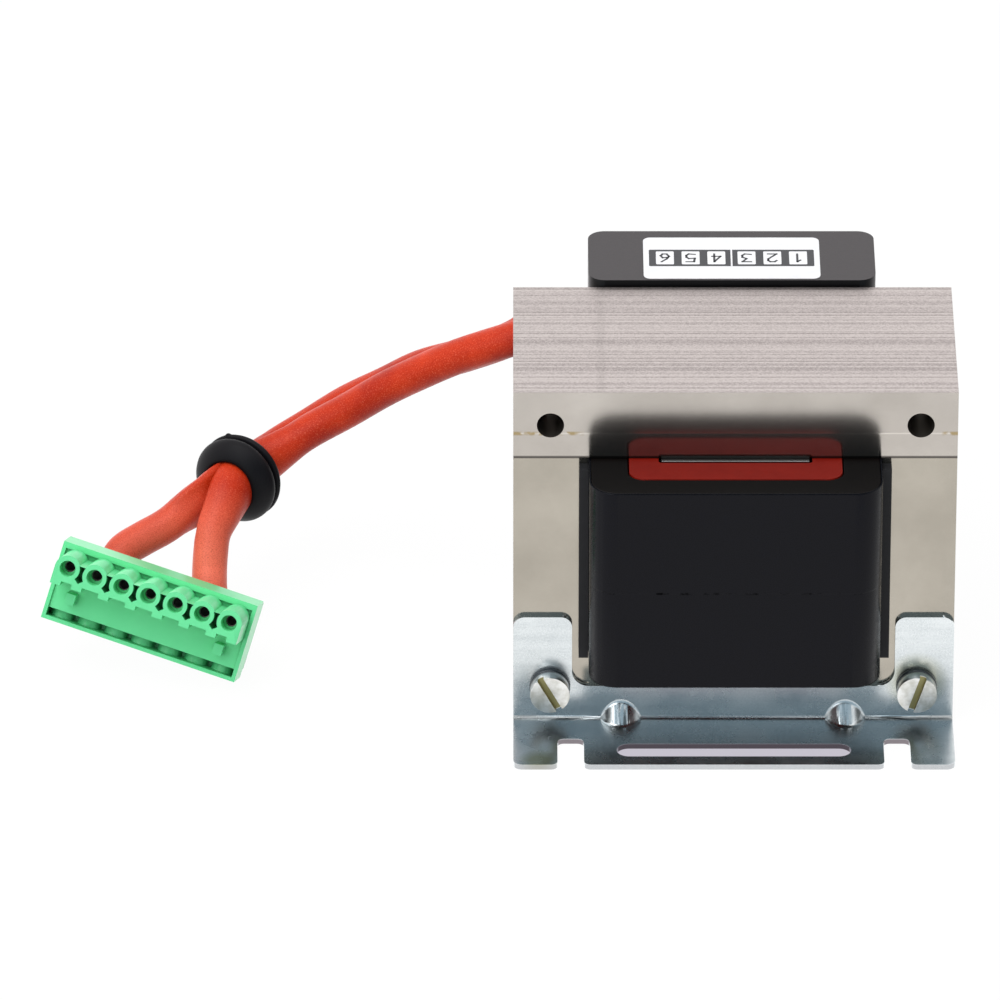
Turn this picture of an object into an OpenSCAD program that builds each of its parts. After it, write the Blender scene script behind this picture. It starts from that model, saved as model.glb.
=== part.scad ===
// Mains transformer on an EI core. It stands on two bent foot brackets, and two
// sleeved leads run from a terminal cover behind the core to a pluggable connector.
// The origin is the middle of the four foot notches, on the mounting plane.

/* [Core] */
// Width of the centre leg
centre_leg_w = 26; // [22:0.5:30]
// Width of each window beside the centre leg
window_w = 13; // [12:0.5:18]
// Height of the windows
window_h = 39; // [34:0.5:46]
// Width of each outer leg
side_leg_w = 13; // [11:0.5:16]
// Height of the lower and the upper yoke
yoke_h = 13; // [11:0.5:16]
// Depth of the stack of I laminations
stack_d = 40; // [34:0.5:46]
// Thickness of one lamination: the E stack is one lamination thinner
lam_t = 0.5; // [0.35:0.05:0.65]
// Diameter of the holes through the laminations
core_hole_d = 4.8; // [4.3:0.1:5]
// Height of the core above the mounting plane
core_lift = 1; // [0.5:0.1:2]

/* [Coil] */
// Gap between the coil and each yoke
coil_gap = 0.1; // [0.1:0.05:0.6]
// Wall of the bobbins
bobbin_t = 1.2; // [0.8:0.1:1.6]
// Gap beside the centre leg and behind it
leg_gap = 0.5; // [0.2:0.05:0.8]
// Thickness of the steel wedge in front of the centre leg
wedge_t = 1.2; // [0.5:0.1:1.5]
// Gap in front of the wedge
wedge_gap = 0.6; // [0.2:0.1:1]
// Room for the primary winding at the sides
primary_h = 4; // [3:0.1:4.5]
// Room for the primary winding at the front and the back
primary_end_h = 4.9; // [3:0.1:6]
// Gap between the inner and the outer bobbin
nest_gap = 0.2; // [0.1:0.05:0.4]
// Room for the secondary winding at the front and the back
secondary_end_h = 3.8; // [2:0.1:6]
// How far each winding stays under the edges of its flanges
under_edge = 0.3; // [0.2:0.05:0.6]
// Thickness of the outer wrap
wrap_t = 0.3; // [0.2:0.05:0.6]
// Radius of the coil's corners
coil_r = 5; // [3:0.5:6]
// Radius of the inner flange's corners
inner_flange_r = 3; // [2:0.5:4]
// Thickness of the window liners
liner_t = 0.2; // [0.15:0.05:0.4]
// Clearance on each side of a window liner
liner_gap = 0.05; // [0.03:0.01:0.1]
// Width of the bead that laps a window liner over the outer leg
bead_w = 1.7; // [1:0.1:2]
// How far the bead stands in front of the outer leg
bead_d = 2.6; // [1.5:0.1:4]
// How far the bead ends below the top of the liner
bead_drop = 1; // [0.2:0.1:3]

/* [Foot brackets] */
// Thickness of the sheet
sheet_t = 1; // [0.8:0.1:1.2]
// How far each foot reaches out from the core
foot_l = 17.75; // [15:0.25:22]
// Height of the two ears
ear_h = 21.4; // [18:0.2:28]
// Width of the ears
ear_w = 10.4; // [9.5:0.1:10.8]
// Radius of the ears' top corners
ear_r = 2; // [1:0.25:3]
// Height of the web between the ears
web_h = 7.5; // [6.5:0.1:9]
// Radius between the web and the ears
web_r = 3; // [1:0.25:3.5]
// Inner radius of the bend
bend_r = 0.5; // [0.3:0.1:1]
// Radius of the foot's outer corners
foot_r = 1.6; // [0.5:0.1:2.5]
// Distance between the two open notches of a foot
notch_pitch = 57.7; // [54:0.1:60]
// Width of a notch
notch_w = 4.7; // [4.2:0.1:5.5]
// Depth of a notch
notch_l = 9.2; // [6:0.1:11]
// Radius of the corners at a notch's inner end
notch_r = 1.2; // [0.5:0.1:2]
// Radius of the corners at a notch's mouth
mouth_r = 1.2; // [0.5:0.1:2]
// Length of the slot in the foot
slot_l = 41.5; // [30:0.5:44]
// Width of the slot
slot_w = 4.5; // [4.1:0.1:5]
// Distance of the slot's middle from the foot's edge
slot_edge = 5.2; // [4:0.1:7]
// Distance between the two gussets pressed into the bend
gusset_pitch = 39.8; // [30:0.2:44]
// Radius of the round back of a gusset
gusset_r = 3.6; // [3.2:0.1:4]
// How far a gusset reaches up the web and along the foot
gusset_leg = 3.4; // [3:0.1:4]

/* [Fasteners] */
// Diameter of the clamp screws
screw_d = 4; // [3:0.1:4.2]
// Length of the clamp screws under the head
screw_l = 50; // [48:0.5:60]
// Diameter of the screw heads
head_d = 7; // [6:0.1:8]
// Height of the screw heads
head_h = 2.6; // [2:0.1:3.5]
// Width of the screwdriver slots
drive_w = 1.2; // [0.8:0.1:1.4]
// Depth of the screwdriver slots
drive_d = 1.1; // [0.6:0.1:1.4]
// Outer diameter of the lock washers
washer_d = 7.2; // [7:0.1:9]
// Thickness of the lock washers
washer_t = 0.9; // [0.6:0.1:1.2]
// Width across flats of the nuts
nut_w = 7; // [6:0.1:8]
// Height of the nuts
nut_h = 3.2; // [2.4:0.1:4]

/* [Terminal cover] */
// How much narrower than the coil the cover is at each side
cover_inset = 0.1; // [0:0.05:1]
// Depth of the cover
cover_d = 19.1; // [18:0.1:24]
// How far the cover stands above the core
cover_rise = 1.15; // [0.5:0.05:3]
// Wall of the cover
cover_t = 1.3; // [1:0.1:1.8]
// Gap between the core and the cover
cover_gap = 0.5; // [0.3:0.1:1]
// Radius of the cover's upright edges
cover_r = 3; // [2:0.25:4]
// Gap under the terminal board and under the cover
seat_gap = 0.1; // [0.05:0.01:0.3]
// Gap between the terminal board and the cover
board_gap = 0.2; // [0.1:0.05:0.4]
// Thickness of the terminal board
board_t = 1.8; // [1.2:0.1:2.2]
// Distance between the solder tags of a row
tag_pitch = 12; // [9:0.5:14]
// Width of a solder tag
tag_w = 1.7; // [1.2:0.1:1.8]
// Thickness of a solder tag
tag_t = 0.6; // [0.4:0.1:0.8]
// How far the tags reach above the wires
tag_above = 2.2; // [1.5:0.1:3]
// Width of the label
label_w = 31.5; // [20:0.5:40]
// Depth of the label
label_d = 15.9; // [10:0.1:16]
// Thickness of the label
label_t = 0.12; // [0.08:0.02:0.2]
// Distance of the label from the cover's front edge
label_edge = 0.5; // [0.4:0.1:1]
// Gap under the sleeves and in front of them in the cover
lead_gap = 0.05; // [0.05:0.05:0.3]
// Gap between the two sleeves in the cover
lead_apart = 0.2; // [0.1:0.05:0.5]
// Length of the sleeves inside the cover
lead_in = 4.5; // [3:0.5:8]
// Length of the sleeves that runs straight out of the cover
lead_out = 2; // [1:0.5:4]

/* [Leads] */
// Diameter of the sleeves
sleeve_d = 6.3; // [5:0.1:6.4]
// Clearance around a sleeve in the cover
sleeve_gap = 0.3; // [0.1:0.05:0.4]
// Diameter of the wires in the sleeves
wire_d = 1.6; // [1.2:0.1:1.7]
// Distance between the wires of one sleeve
wire_pitch = 1.9; // [1.8:0.05:2]
// Outer diameter of the grommet
grommet_d = 16; // [15:0.25:20]
// Bore of the grommet
grommet_bore = 9.6; // [9.5:0.1:11]
// Length of the grommet
grommet_l = 5.6; // [5:0.1:7]
// Thickness of the grommet's rear flange
grommet_flange_t = 1.2; // [0.8:0.1:1.6]
// Length of the grommet's domed front
dome_l = 2.7; // [2:0.1:2.8]
// Diameter of the rim at the front of the dome
dome_rim_d = 11.4; // [11.2:0.1:13]
// Width of the groove around the grommet
groove_w = 1; // [0.8:0.1:2]
// Depth of the groove
groove_d = 1.5; // [1:0.1:2]
// How flat the grommet squeezes the side of a sleeve that faces the other one
squeeze = 0.46; // [0.4:0.01:0.48]

/* [Connector] */
// Distance between the poles
pole_pitch = 5.08; // [5:0.01:5.2]
// Width of the collar beside the outer poles
collar_side = 3.1; // [2.6:0.05:3.5]
// Height of the collar
collar_h = 14.5; // [14.2:0.1:17]
// Depth of the collar
collar_d = 6; // [5:0.1:8]
// How far the bosses stand out of the collar
boss_l = 7.5; // [6:0.1:9]
// Radius of the bosses
boss_r = 2.35; // [2.2:0.05:2.5]
// Height of the bosses' middle above the collar's middle
boss_z = 4.1; // [3.6:0.05:4.4]
// Diameter of the openings in the bosses
boss_hole_d = 2.9; // [2.6:0.1:3.2]
// Depth of the part behind the collar
rear_d = 5; // [4:0.1:7]
// Wall left under the lower edge of the pocket
rim_t = 0.7; // [0.5:0.05:1]
// Height of the lip above the recess in the collar's face
lip_h = 1.1; // [0.8:0.1:1.5]
// Height of the pocket
pocket_h = 1.5; // [1.2:0.1:2]
// Depth of the wide mouth of each opening
mouth_l = 2.4; // [1:0.1:2.4]
// Diameter of the pin holes behind the mouths
pin_hole_d = 2; // [1.5:0.05:2]
// Bore of the contact sockets
socket_bore = 1.75; // [1.4:0.05:1.9]
// How deep the sockets lie behind the boss face
socket_in = 3.3; // [2.6:0.1:3.5]
// Clearance around the contacts
contact_gap = 0.1; // [0.05:0.01:0.2]
// Diameter of the clamp screws of the connector
pole_screw_d = 2.6; // [2.2:0.1:2.8]

/* [Hidden] */
$fn = 48;

// Cutters reach this far past the faces they cut
past = 0.5;

// Core
core_w = centre_leg_w + 2 * window_w + 2 * side_leg_w;
window_z = core_lift + yoke_h;
joint_z = window_z + window_h;
core_top = joint_z + yoke_h;
hole_x = core_w / 2 - side_leg_w / 2;
low_hole_z = core_lift + yoke_h / 2;
high_hole_z = joint_z + yoke_h / 2;
i_face = stack_d / 2;
e_face = (stack_d - lam_t) / 2;

// Coil: half widths in x, and how far each shell reaches to the front and to the back in y
coil_z = window_z + coil_gap;
coil_top = joint_z - coil_gap;
coil_h = coil_top - coil_z;
window_x = centre_leg_w / 2 + window_w;
bobbin_x = centre_leg_w / 2 + leg_gap;
bobbin_front = e_face + wedge_t + wedge_gap;
bobbin_back = e_face + leg_gap;
primary_x = bobbin_x + bobbin_t;
inner_x = primary_x + primary_h;
inner_out = bobbin_t + primary_end_h;
outer_x = inner_x + nest_gap;
outer_out = inner_out + nest_gap;
coil_x = window_x - liner_t - 2 * liner_gap;
flange_x = coil_x - wrap_t;
flange_out = outer_out + bobbin_t + secondary_end_h;
coil_out = flange_out + wrap_t;
tube_r = 1.5;

// Fasteners
head_y = e_face + sheet_t + washer_t;
left_drive_turn = -29;
right_drive_turn = 18;
washer_split = 0.8;

// Terminal cover
cover_w = 2 * (coil_x - cover_inset);
cover_front = i_face + cover_gap;
cover_back = cover_front + cover_d;
cover_z = coil_top + seat_gap;
cover_top = core_top + cover_rise;
board_x = cover_w / 2 - cover_t - board_gap;
board_front = cover_front + cover_t + board_gap;
board_back = cover_back - cover_t - board_gap;
latch_x = 14;
latch_w = 6;
latch_h = 1.4;
label_r = 1.3;

// Each sleeve starts in the cover and leaves it straight through the left wall
lead_x = -cover_w / 2;
lead_z = cover_z + lead_gap + sleeve_d / 2;
front_lead_y = cover_front + cover_t + lead_gap + sleeve_d / 2;
rear_lead_y = front_lead_y + sleeve_d + lead_apart;

// Routes of the two sleeves from the cover to the back of the connector
FRONT_HOLD = [-88, 26.5, 23.4];
REAR_HOLD = [-90, 28.5, 22.4];
FRONT_ROUTE = [[lead_x + lead_in, front_lead_y, lead_z], [lead_x - lead_out, front_lead_y, lead_z],
               [-33, 25.5, 55], [-39, 26.2, 52.4], [-48.5, 28.6, 47.7], [-55.5, 30.9, 43.2], [-62, 33, 38.6],
               [-69, 34.7, 33.2], [-76, 34.9, 28.8], [-81.5, 33.2, 25.4], [-85.5, 30.5, 23.6], FRONT_HOLD,
               [-89.4, 23.2, 22.8], [-91.2, 19.5, 20.7], [-92.8, 16.8, 18.2], [-93.3, 14.7, 15.3],
               [-93.5, 12.9, 12.6], [-93.5, 11.1, 10.9], [-93.4, 9.9, 9.6]];
REAR_ROUTE = [[lead_x + lead_in, rear_lead_y, lead_z], [lead_x - lead_out, rear_lead_y, lead_z],
              [-33, 32, 54], [-39, 32.5, 49.3], [-47.5, 34.9, 44.6], [-55.5, 37.7, 40.6], [-62, 39.8, 36],
              [-69, 41.4, 31.4], [-76, 41.9, 26.3], [-81.5, 40.2, 23.4], [-85.5, 36.5, 22], [-88, 32.3, 22],
              REAR_HOLD, [-91.7, 25.8, 22.2], [-94, 23.6, 21.5], [-97, 22, 20.3], [-101.5, 20, 17.6],
              [-105.5, 17.9, 16.2], [-108.8, 15.8, 15], [-110.4, 13.8, 13.6]];
route_sides = 12;
wire_sides = 8;
wire_steps = 8;
grommet_at = (FRONT_HOLD + REAR_HOLD) / 2;
grommet_turn = [88, 0, -28];
dome_mid_d = dome_rim_d + 0.72 * (grommet_d - dome_rim_d);
// From the first distance to the second a squeezed sleeve becomes round again
squeeze_near = 5;
squeeze_far = 14;
// A squeezed sleeve reaches to this distance from the grommet's middle
hold_r = grommet_bore / 2 - 0.6;
hold_half = norm(REAR_HOLD - FRONT_HOLD) / 2;

// Connector, in its own frame: x along the poles, -y out of its face, z up
poles = 7;
plug_at = [-103.9, -5, 13.85];
plug_turn = [-21, 13.2, -14.5];
row_x = (poles - 1) / 2 * pole_pitch;
collar_x = row_x + collar_side;
boss_x = row_x + boss_r;
boss_low = 1.6;
tab_low = 0.75;
tab_w = 1.9;
valley_z = 5.3;
pocket_z = rim_t - collar_h / 2;
pocket_d = 4;
well_y = 3.8;
well_r = 2.2;
rear_z = [-6.5, 6];
rear_side = 0.5;
cage_w = 3.4;
cage_y = [1, 9];
cage_z = [-0.6, 5.4];
wire_z = 2.3;
entry_d = 3.2;
funnel_d = 4.2;
funnel_l = 1;
wire_in = 3;
recess_d = 0.5;
recess_side = 0.7;
hook_x = 14;
hook_w = 1.7;
hook_l = 1.8;
hook_z = [-3.2, -1.2];
boss_wall = 0.75;
key_x = 0.8;
key_high = 1.1;
key_low = 1.4;
key_foot = 0.65;
key_d = 4;

function pole_at(i) = (i - (poles - 1) / 2) * pole_pitch;
function unit(v) = v / norm(v);
function flip(side) = side < 0 ? 1 : 0;

// Tangent of a route at one of its points
function heading(route, i) = unit(route[min(i + 1, len(route) - 1)] - route[max(i - 1, 0)]);

// A share of 0 at the near distance and 1 at the far distance
function ramp(d, near, far) = max(0, min(1, (d - near) / (far - near)));

// How round a sleeve is at a place: 0 in the grommet and 1 away from it
function roundness(p) = ramp(norm(p - grommet_at), squeeze_near, squeeze_far);

// How far a squeezed sleeve reaches at an angle: flat against the other sleeve, round towards the bore
function squeezed(a, side) =
    let (toward = side * cos(a),
         reach = hold_half * toward + sqrt(pow(hold_r, 2) - pow(hold_half * sin(a), 2)))
    toward > 0.1 ? min(reach, squeeze * sleeve_d / 2 / toward) : reach;

// One ring of points around a route. On the given side it is pressed against the other sleeve
function ring(p, along, r, share, sides, across, side) =
    let (u = unit(across - (across * along) * along), v = cross(along, u))
    [for (k = [0 : sides - 1]) let (a = 360 * k / sides)
        p + (share * r + (1 - share) * squeezed(a, side)) * (cos(a) * u + sin(a) * v)];

// A closed tube through rings of the same number of points
module skin(rings) {
    sides = len(rings[0]);
    last = (len(rings) - 1) * sides;
    polyhedron(
        points = [for (r = rings) each r],
        faces = concat(
            [[for (k = [0 : sides - 1]) k]],
            [for (i = [0 : len(rings) - 2], k = [0 : sides - 1])
                [i * sides + k, (i + 1) * sides + k, (i + 1) * sides + (k + 1) % sides, i * sides + (k + 1) % sides]],
            [[for (k = [sides - 1 : -1 : 0]) last + k]]));
}

// A rectangle around the middle in x, from one y to another, with round corners
module rounded(half_w, y0, y1, r) {
    translate([-half_w + r, y0]) square([2 * (half_w - r), y1 - y0]);
    translate([-half_w, y0 + r]) square([2 * half_w, y1 - y0 - 2 * r]);
    for (x = [-half_w + r, half_w - r], y = [y0 + r, y1 - r]) translate([x, y]) circle(r);
}

// A coil's outline that reaches the same distance out of the bobbin's hole in front and behind
module coil_outline(half_w, out, r) {
    rounded(half_w, -bobbin_front - out, bobbin_back + out, r);
}

// Cylinder along y from one place to another
module bar_y(d, y0, y1) {
    translate([0, y0, 0]) rotate([-90, 0, 0]) cylinder(h = y1 - y0, d = d);
}

module core_e_stack() {
    color([0.70, 0.67, 0.63])
    difference() {
        translate([-core_w / 2, -e_face, core_lift]) cube([core_w, 2 * e_face, joint_z - core_lift]);
        for (side = [-1, 1]) {
            translate([side > 0 ? centre_leg_w / 2 : -window_x, -e_face - past, window_z])
                cube([window_w, 2 * e_face + 2 * past, window_h + past]);
            translate([side * hole_x, 0, low_hole_z]) bar_y(core_hole_d, -e_face - past, e_face + past);
        }
    }
}

module core_i_stack() {
    color([0.77, 0.74, 0.71])
    difference() {
        translate([-core_w / 2, -i_face, joint_z]) cube([core_w, 2 * i_face, yoke_h]);
        for (side = [-1, 1])
            translate([side * hole_x, 0, high_hole_z]) bar_y(core_hole_d, -i_face - past, i_face + past);
    }
}

module core_wedge() {
    color([0.62, 0.60, 0.58])
    translate([-centre_leg_w / 2, -e_face - wedge_t, window_z]) cube([centre_leg_w, wedge_t, window_h - coil_gap]);
}

// A bobbin: a tube of one wall thickness with a flange at each end
module bobbin(half_w, out, flange_half_w, flange_reach, hole_r, corner_r) {
    difference() {
        translate([0, 0, coil_z]) {
            linear_extrude(coil_h) coil_outline(half_w + bobbin_t, out + bobbin_t, hole_r + bobbin_t);
            for (z = [0, coil_h - bobbin_t])
                translate([0, 0, z]) linear_extrude(bobbin_t) coil_outline(flange_half_w, flange_reach, corner_r);
        }
        translate([0, 0, coil_z - past]) linear_extrude(coil_h + 2 * past) coil_outline(half_w, out, hole_r);
    }
}

// A winding between the flanges of a bobbin
module winding(half_w, out, inner_half_w, inner_reach, r, inner_r) {
    translate([0, 0, coil_z + bobbin_t]) linear_extrude(coil_h - 2 * bobbin_t) difference() {
        coil_outline(half_w, out, r);
        coil_outline(inner_half_w, inner_reach, inner_r);
    }
}

module inner_bobbin() {
    color([0.70, 0.14, 0.10]) bobbin(bobbin_x, 0, inner_x, inner_out, tube_r / 3, inner_flange_r);
}

module primary_winding() {
    color([0.72, 0.40, 0.20])
    winding(inner_x - under_edge, inner_out - under_edge, primary_x, bobbin_t, inner_flange_r, tube_r / 3 + bobbin_t);
}

module outer_bobbin() {
    color([0.10, 0.10, 0.11])
    bobbin(outer_x, outer_out, flange_x, flange_out, inner_flange_r, coil_r - wrap_t);
}

module secondary_winding() {
    color([0.72, 0.40, 0.20])
    winding(flange_x - under_edge, flange_out - under_edge, outer_x + bobbin_t, outer_out + bobbin_t,
            coil_r - wrap_t, inner_flange_r + bobbin_t);
}

module coil_wrap() {
    color([0.13, 0.13, 0.15])
    translate([0, 0, coil_z]) linear_extrude(coil_h) difference() {
        coil_outline(coil_x, coil_out, coil_r);
        coil_outline(flange_x, flange_out, coil_r - wrap_t);
    }
}

// Insulating liner against the outer leg, with a bead over the leg's front and back edge
module window_liner() {
    wall_x = window_x - liner_gap - liner_t;
    bead_gap = liner_gap;
    bead_h = coil_h - bead_drop;
    translate([0, 0, window_z + coil_gap]) {
        translate([wall_x, -e_face, 0]) cube([liner_t, 2 * e_face, coil_h]);
        translate([wall_x, -e_face - bead_d, 0]) cube([liner_t, 2 * (e_face + bead_d), bead_h]);
        for (y = [-e_face - bead_d, e_face + bead_gap])
            translate([wall_x, y, 0]) cube([bead_w, bead_d - bead_gap, bead_h]);
    }
}

module window_liner_right() {
    color([0.08, 0.08, 0.09]) window_liner();
}

module window_liner_left() {
    color([0.08, 0.08, 0.09]) mirror([1, 0, 0]) window_liner();
}

// Outline of the upright web with its two ears, in x and z
module web_outline() {
    translate([-core_w / 2, 0]) square([core_w, web_h]);
    for (side = [-1, 1]) mirror([flip(side), 0]) {
        translate([core_w / 2 - ear_w, 0]) square([ear_w, ear_h - ear_r]);
        translate([core_w / 2 - ear_w + ear_r, 0]) square([ear_w - 2 * ear_r, ear_h]);
        for (x = [core_w / 2 - ear_w + ear_r, core_w / 2 - ear_r]) translate([x, ear_h - ear_r]) circle(ear_r);
        translate([core_w / 2 - ear_w - web_r, web_h]) difference() {
            translate([0, -past]) square([web_r + past, web_r + past]);
            translate([0, web_r]) circle(web_r);
        }
    }
}

// Outline of a notch, open at y = 0, with round corners at its inner end and at its mouth
module notch_outline() {
    translate([-notch_w / 2, notch_r - notch_l]) square([notch_w, notch_l - notch_r + past]);
    translate([notch_r - notch_w / 2, -notch_l]) square([notch_w - 2 * notch_r, notch_l]);
    for (side = [-1, 1]) mirror([flip(side), 0]) {
        translate([notch_w / 2 - notch_r, notch_r - notch_l]) circle(notch_r);
        translate([notch_w / 2 - past, -mouth_r]) difference() {
            square([mouth_r + past, mouth_r + past]);
            translate([mouth_r + past, 0]) circle(mouth_r);
        }
    }
}

// Outline of the foot with its notches and its slot, in x and in the distance from the core
module foot_outline() {
    difference() {
        union() {
            translate([-core_w / 2, 0]) square([core_w, foot_l - foot_r]);
            translate([-core_w / 2 + foot_r, 0]) square([core_w - 2 * foot_r, foot_l]);
            for (side = [-1, 1]) translate([side * (core_w / 2 - foot_r), foot_l - foot_r]) circle(foot_r);
        }
        for (side = [-1, 1]) translate([side * notch_pitch / 2, foot_l]) notch_outline();
        for (side = [-1, 1]) translate([side * (slot_l - slot_w) / 2, foot_l - slot_edge]) circle(d = slot_w);
        translate([-(slot_l - slot_w) / 2, foot_l - slot_edge - slot_w / 2]) square([slot_l - slot_w, slot_w]);
    }
}

// A round rib across the bend, pressed up out of the sheet
module gusset(r) {
    reach = 2 * gusset_leg;
    axis = (gusset_leg - gusset_r * sqrt(2)) / 2;
    translate([0, sheet_t, sheet_t]) intersection() {
        translate([-gusset_r, -sheet_t, -sheet_t]) cube([2 * gusset_r, sheet_t + gusset_leg, sheet_t + gusset_leg]);
        translate([0, axis, axis]) rotate([45, 0, 0]) translate([0, 0, -reach]) cylinder(h = 2 * reach, r = r);
    }
}

// A bracket whose web starts at y = 0 and whose foot reaches to +y
module bracket() {
    bend = bend_r + sheet_t;
    difference() {
        union() {
            translate([0, sheet_t, 0]) rotate([90, 0, 0]) linear_extrude(sheet_t) difference() {
                web_outline();
                translate([-core_w / 2 - past, -past]) square([core_w + 2 * past, bend + past]);
                for (side = [-1, 1]) translate([side * hole_x, low_hole_z]) circle(d = core_hole_d);
            }
            linear_extrude(sheet_t) difference() {
                foot_outline();
                translate([-core_w / 2 - past, -past]) square([core_w + 2 * past, bend + past]);
            }
            translate([-core_w / 2, bend, bend]) rotate([90, 0, 90]) linear_extrude(core_w) intersection() {
                difference() {
                    circle(bend);
                    circle(bend_r);
                }
                translate([-bend, -bend]) square(bend);
            }
            for (side = [-1, 1]) translate([side * gusset_pitch / 2, 0, 0]) gusset(gusset_r);
        }
        for (side = [-1, 1]) translate([side * gusset_pitch / 2, 0, 0]) gusset(gusset_r - sheet_t);
    }
}

module front_bracket() {
    color([0.72, 0.76, 0.78]) mirror([0, 1, 0]) translate([0, e_face, 0]) bracket();
}

module rear_bracket() {
    color([0.72, 0.76, 0.78]) translate([0, e_face, 0]) bracket();
}

module clamp_screws() {
    color([0.78, 0.79, 0.74])
    for (side = [-1, 1]) translate([side * hole_x, 0, low_hole_z]) difference() {
        union() {
            bar_y(screw_d, -head_y, screw_l - head_y);
            bar_y(head_d, -head_y - head_h, -head_y);
        }
        rotate([0, side < 0 ? left_drive_turn : right_drive_turn, 0])
            translate([-drive_w / 2, -head_y - head_h - past, -head_d])
                cube([drive_w, drive_d + past, 2 * head_d]);
    }
}

module lock_washers() {
    color([0.60, 0.62, 0.62])
    for (x = [-hole_x, hole_x], y = [-e_face - sheet_t - washer_t, e_face + sheet_t])
        translate([x, 0, low_hole_z]) difference() {
            bar_y(washer_d, y, y + washer_t);
            bar_y(core_hole_d, y - past, y + washer_t + past);
            translate([-washer_split / 2, y - past, -washer_d]) cube([washer_split, washer_t + 2 * past, washer_d]);
        }
}

module clamp_nuts() {
    color([0.66, 0.68, 0.68])
    for (x = [-hole_x, hole_x]) translate([x, head_y, low_hole_z]) rotate([-90, 0, 0]) difference() {
        cylinder(h = nut_h, d = nut_w / cos(30), $fn = 6);
        translate([0, 0, -past]) cylinder(h = nut_h + 2 * past, d = screw_d);
    }
}

module terminal_board() {
    color([0.12, 0.12, 0.13])
    translate([0, 0, cover_z]) {
        difference() {
            linear_extrude(board_t) rounded(board_x, board_front, board_back, cover_r - cover_t);
            translate([lead_x, board_front - past, -past])
                cube([lead_in + board_gap, rear_lead_y + sleeve_d / 2 + board_gap - board_front + past, board_t + 2 * past]);
        }
        for (side = [-1, 1])
            translate([side * latch_x - latch_w / 2 + board_gap, board_back - past, board_t - latch_h])
                cube([latch_w - 2 * board_gap, board_gap + cover_t + past, latch_h]);
    }
}

// Solder tag k of a row, counted from the sleeve
function tag_x(k) = (k - 1) * tag_pitch;
function tag_y(route, k) = route[0][1] + (k - 1) * wire_pitch;

module solder_tags() {
    color([0.80, 0.78, 0.70])
    for (route = [FRONT_ROUTE, REAR_ROUTE], k = [0 : 2])
        translate([tag_x(k), tag_y(route, k) - tag_w / 2, cover_z + board_t])
            cube([tag_t, tag_w, route[0][2] + tag_above - cover_z - board_t]);
}

module tag_wires() {
    color([0.75, 0.72, 0.66])
    for (route = [FRONT_ROUTE, REAR_ROUTE], k = [0 : 2])
        translate([route[0][0], tag_y(route, k), route[0][2]])
            rotate([0, 90, 0]) cylinder(h = tag_x(k) - route[0][0], d = wire_d);
}

// The passage for both sleeves through the left wall of the cover
module sleeve_passage() {
    d = sleeve_d + 2 * sleeve_gap;
    h = max(cover_r, cover_t) + 2 * past;
    for (y = [front_lead_y, rear_lead_y])
        translate([lead_x - past, y, lead_z]) rotate([0, 90, 0]) cylinder(h = h, d = d);
    translate([lead_x - past, front_lead_y, lead_z - d / 2]) cube([h, rear_lead_y - front_lead_y, d]);
    translate([lead_x - past, front_lead_y - d / 2, cover_z - past])
        cube([h, rear_lead_y - front_lead_y + d, lead_z - cover_z + past]);
}

module terminal_cover() {
    color([0.17, 0.16, 0.17])
    difference() {
        translate([0, 0, cover_z]) linear_extrude(cover_top - cover_z)
            rounded(cover_w / 2, cover_front, cover_back, cover_r);
        translate([0, 0, cover_z - past]) linear_extrude(cover_top - cover_t - cover_z + past)
            rounded(cover_w / 2 - cover_t, cover_front + cover_t, cover_back - cover_t, cover_r - cover_t);
        sleeve_passage();
        for (side = [-1, 1])
            translate([side * latch_x - latch_w / 2, cover_back - cover_t - past, cover_z + board_t - latch_h - board_gap])
                cube([latch_w, cover_t + 2 * past, latch_h + 2 * board_gap]);
    }
}

module rating_label() {
    color([0.93, 0.93, 0.93])
    translate([0, 0, cover_top]) linear_extrude(label_t)
        rounded(label_w / 2, cover_front + label_edge, cover_front + label_edge + label_d, label_r);
}

// A sleeve along its route, squeezed where it passes through the grommet
module sleeve(route, side) {
    across = REAR_HOLD - FRONT_HOLD;
    skin([for (i = [0 : len(route) - 1])
        ring(route[i], heading(route, i), sleeve_d / 2, roundness(route[i]), route_sides, across, side)]);
}

module lead_sleeve_front() {
    color([0.84, 0.28, 0.18]) sleeve(FRONT_ROUTE, 1);
}

module lead_sleeve_rear() {
    color([0.84, 0.28, 0.18]) sleeve(REAR_ROUTE, -1);
}

// Turns of the connector about x, then y, then z, applied to a place in its own frame
function turn_x(p, a) = [p[0], p[1] * cos(a) - p[2] * sin(a), p[1] * sin(a) + p[2] * cos(a)];
function turn_y(p, a) = [p[0] * cos(a) + p[2] * sin(a), p[1], p[2] * cos(a) - p[0] * sin(a)];
function turn_z(p, a) = [p[0] * cos(a) - p[1] * sin(a), p[0] * sin(a) + p[1] * cos(a), p[2]];
function turned(p) = turn_z(turn_y(turn_x(p, plug_turn[0]), plug_turn[1]), plug_turn[2]);
function on_plug(p) = plug_at + turned(p);

// A smooth curve with its ends and two places that pull it
function curve(a, b, c, d, t) =
    pow(1 - t, 3) * a + 3 * pow(1 - t, 2) * t * b + 3 * (1 - t) * t * t * c + t * t * t * d;

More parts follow.
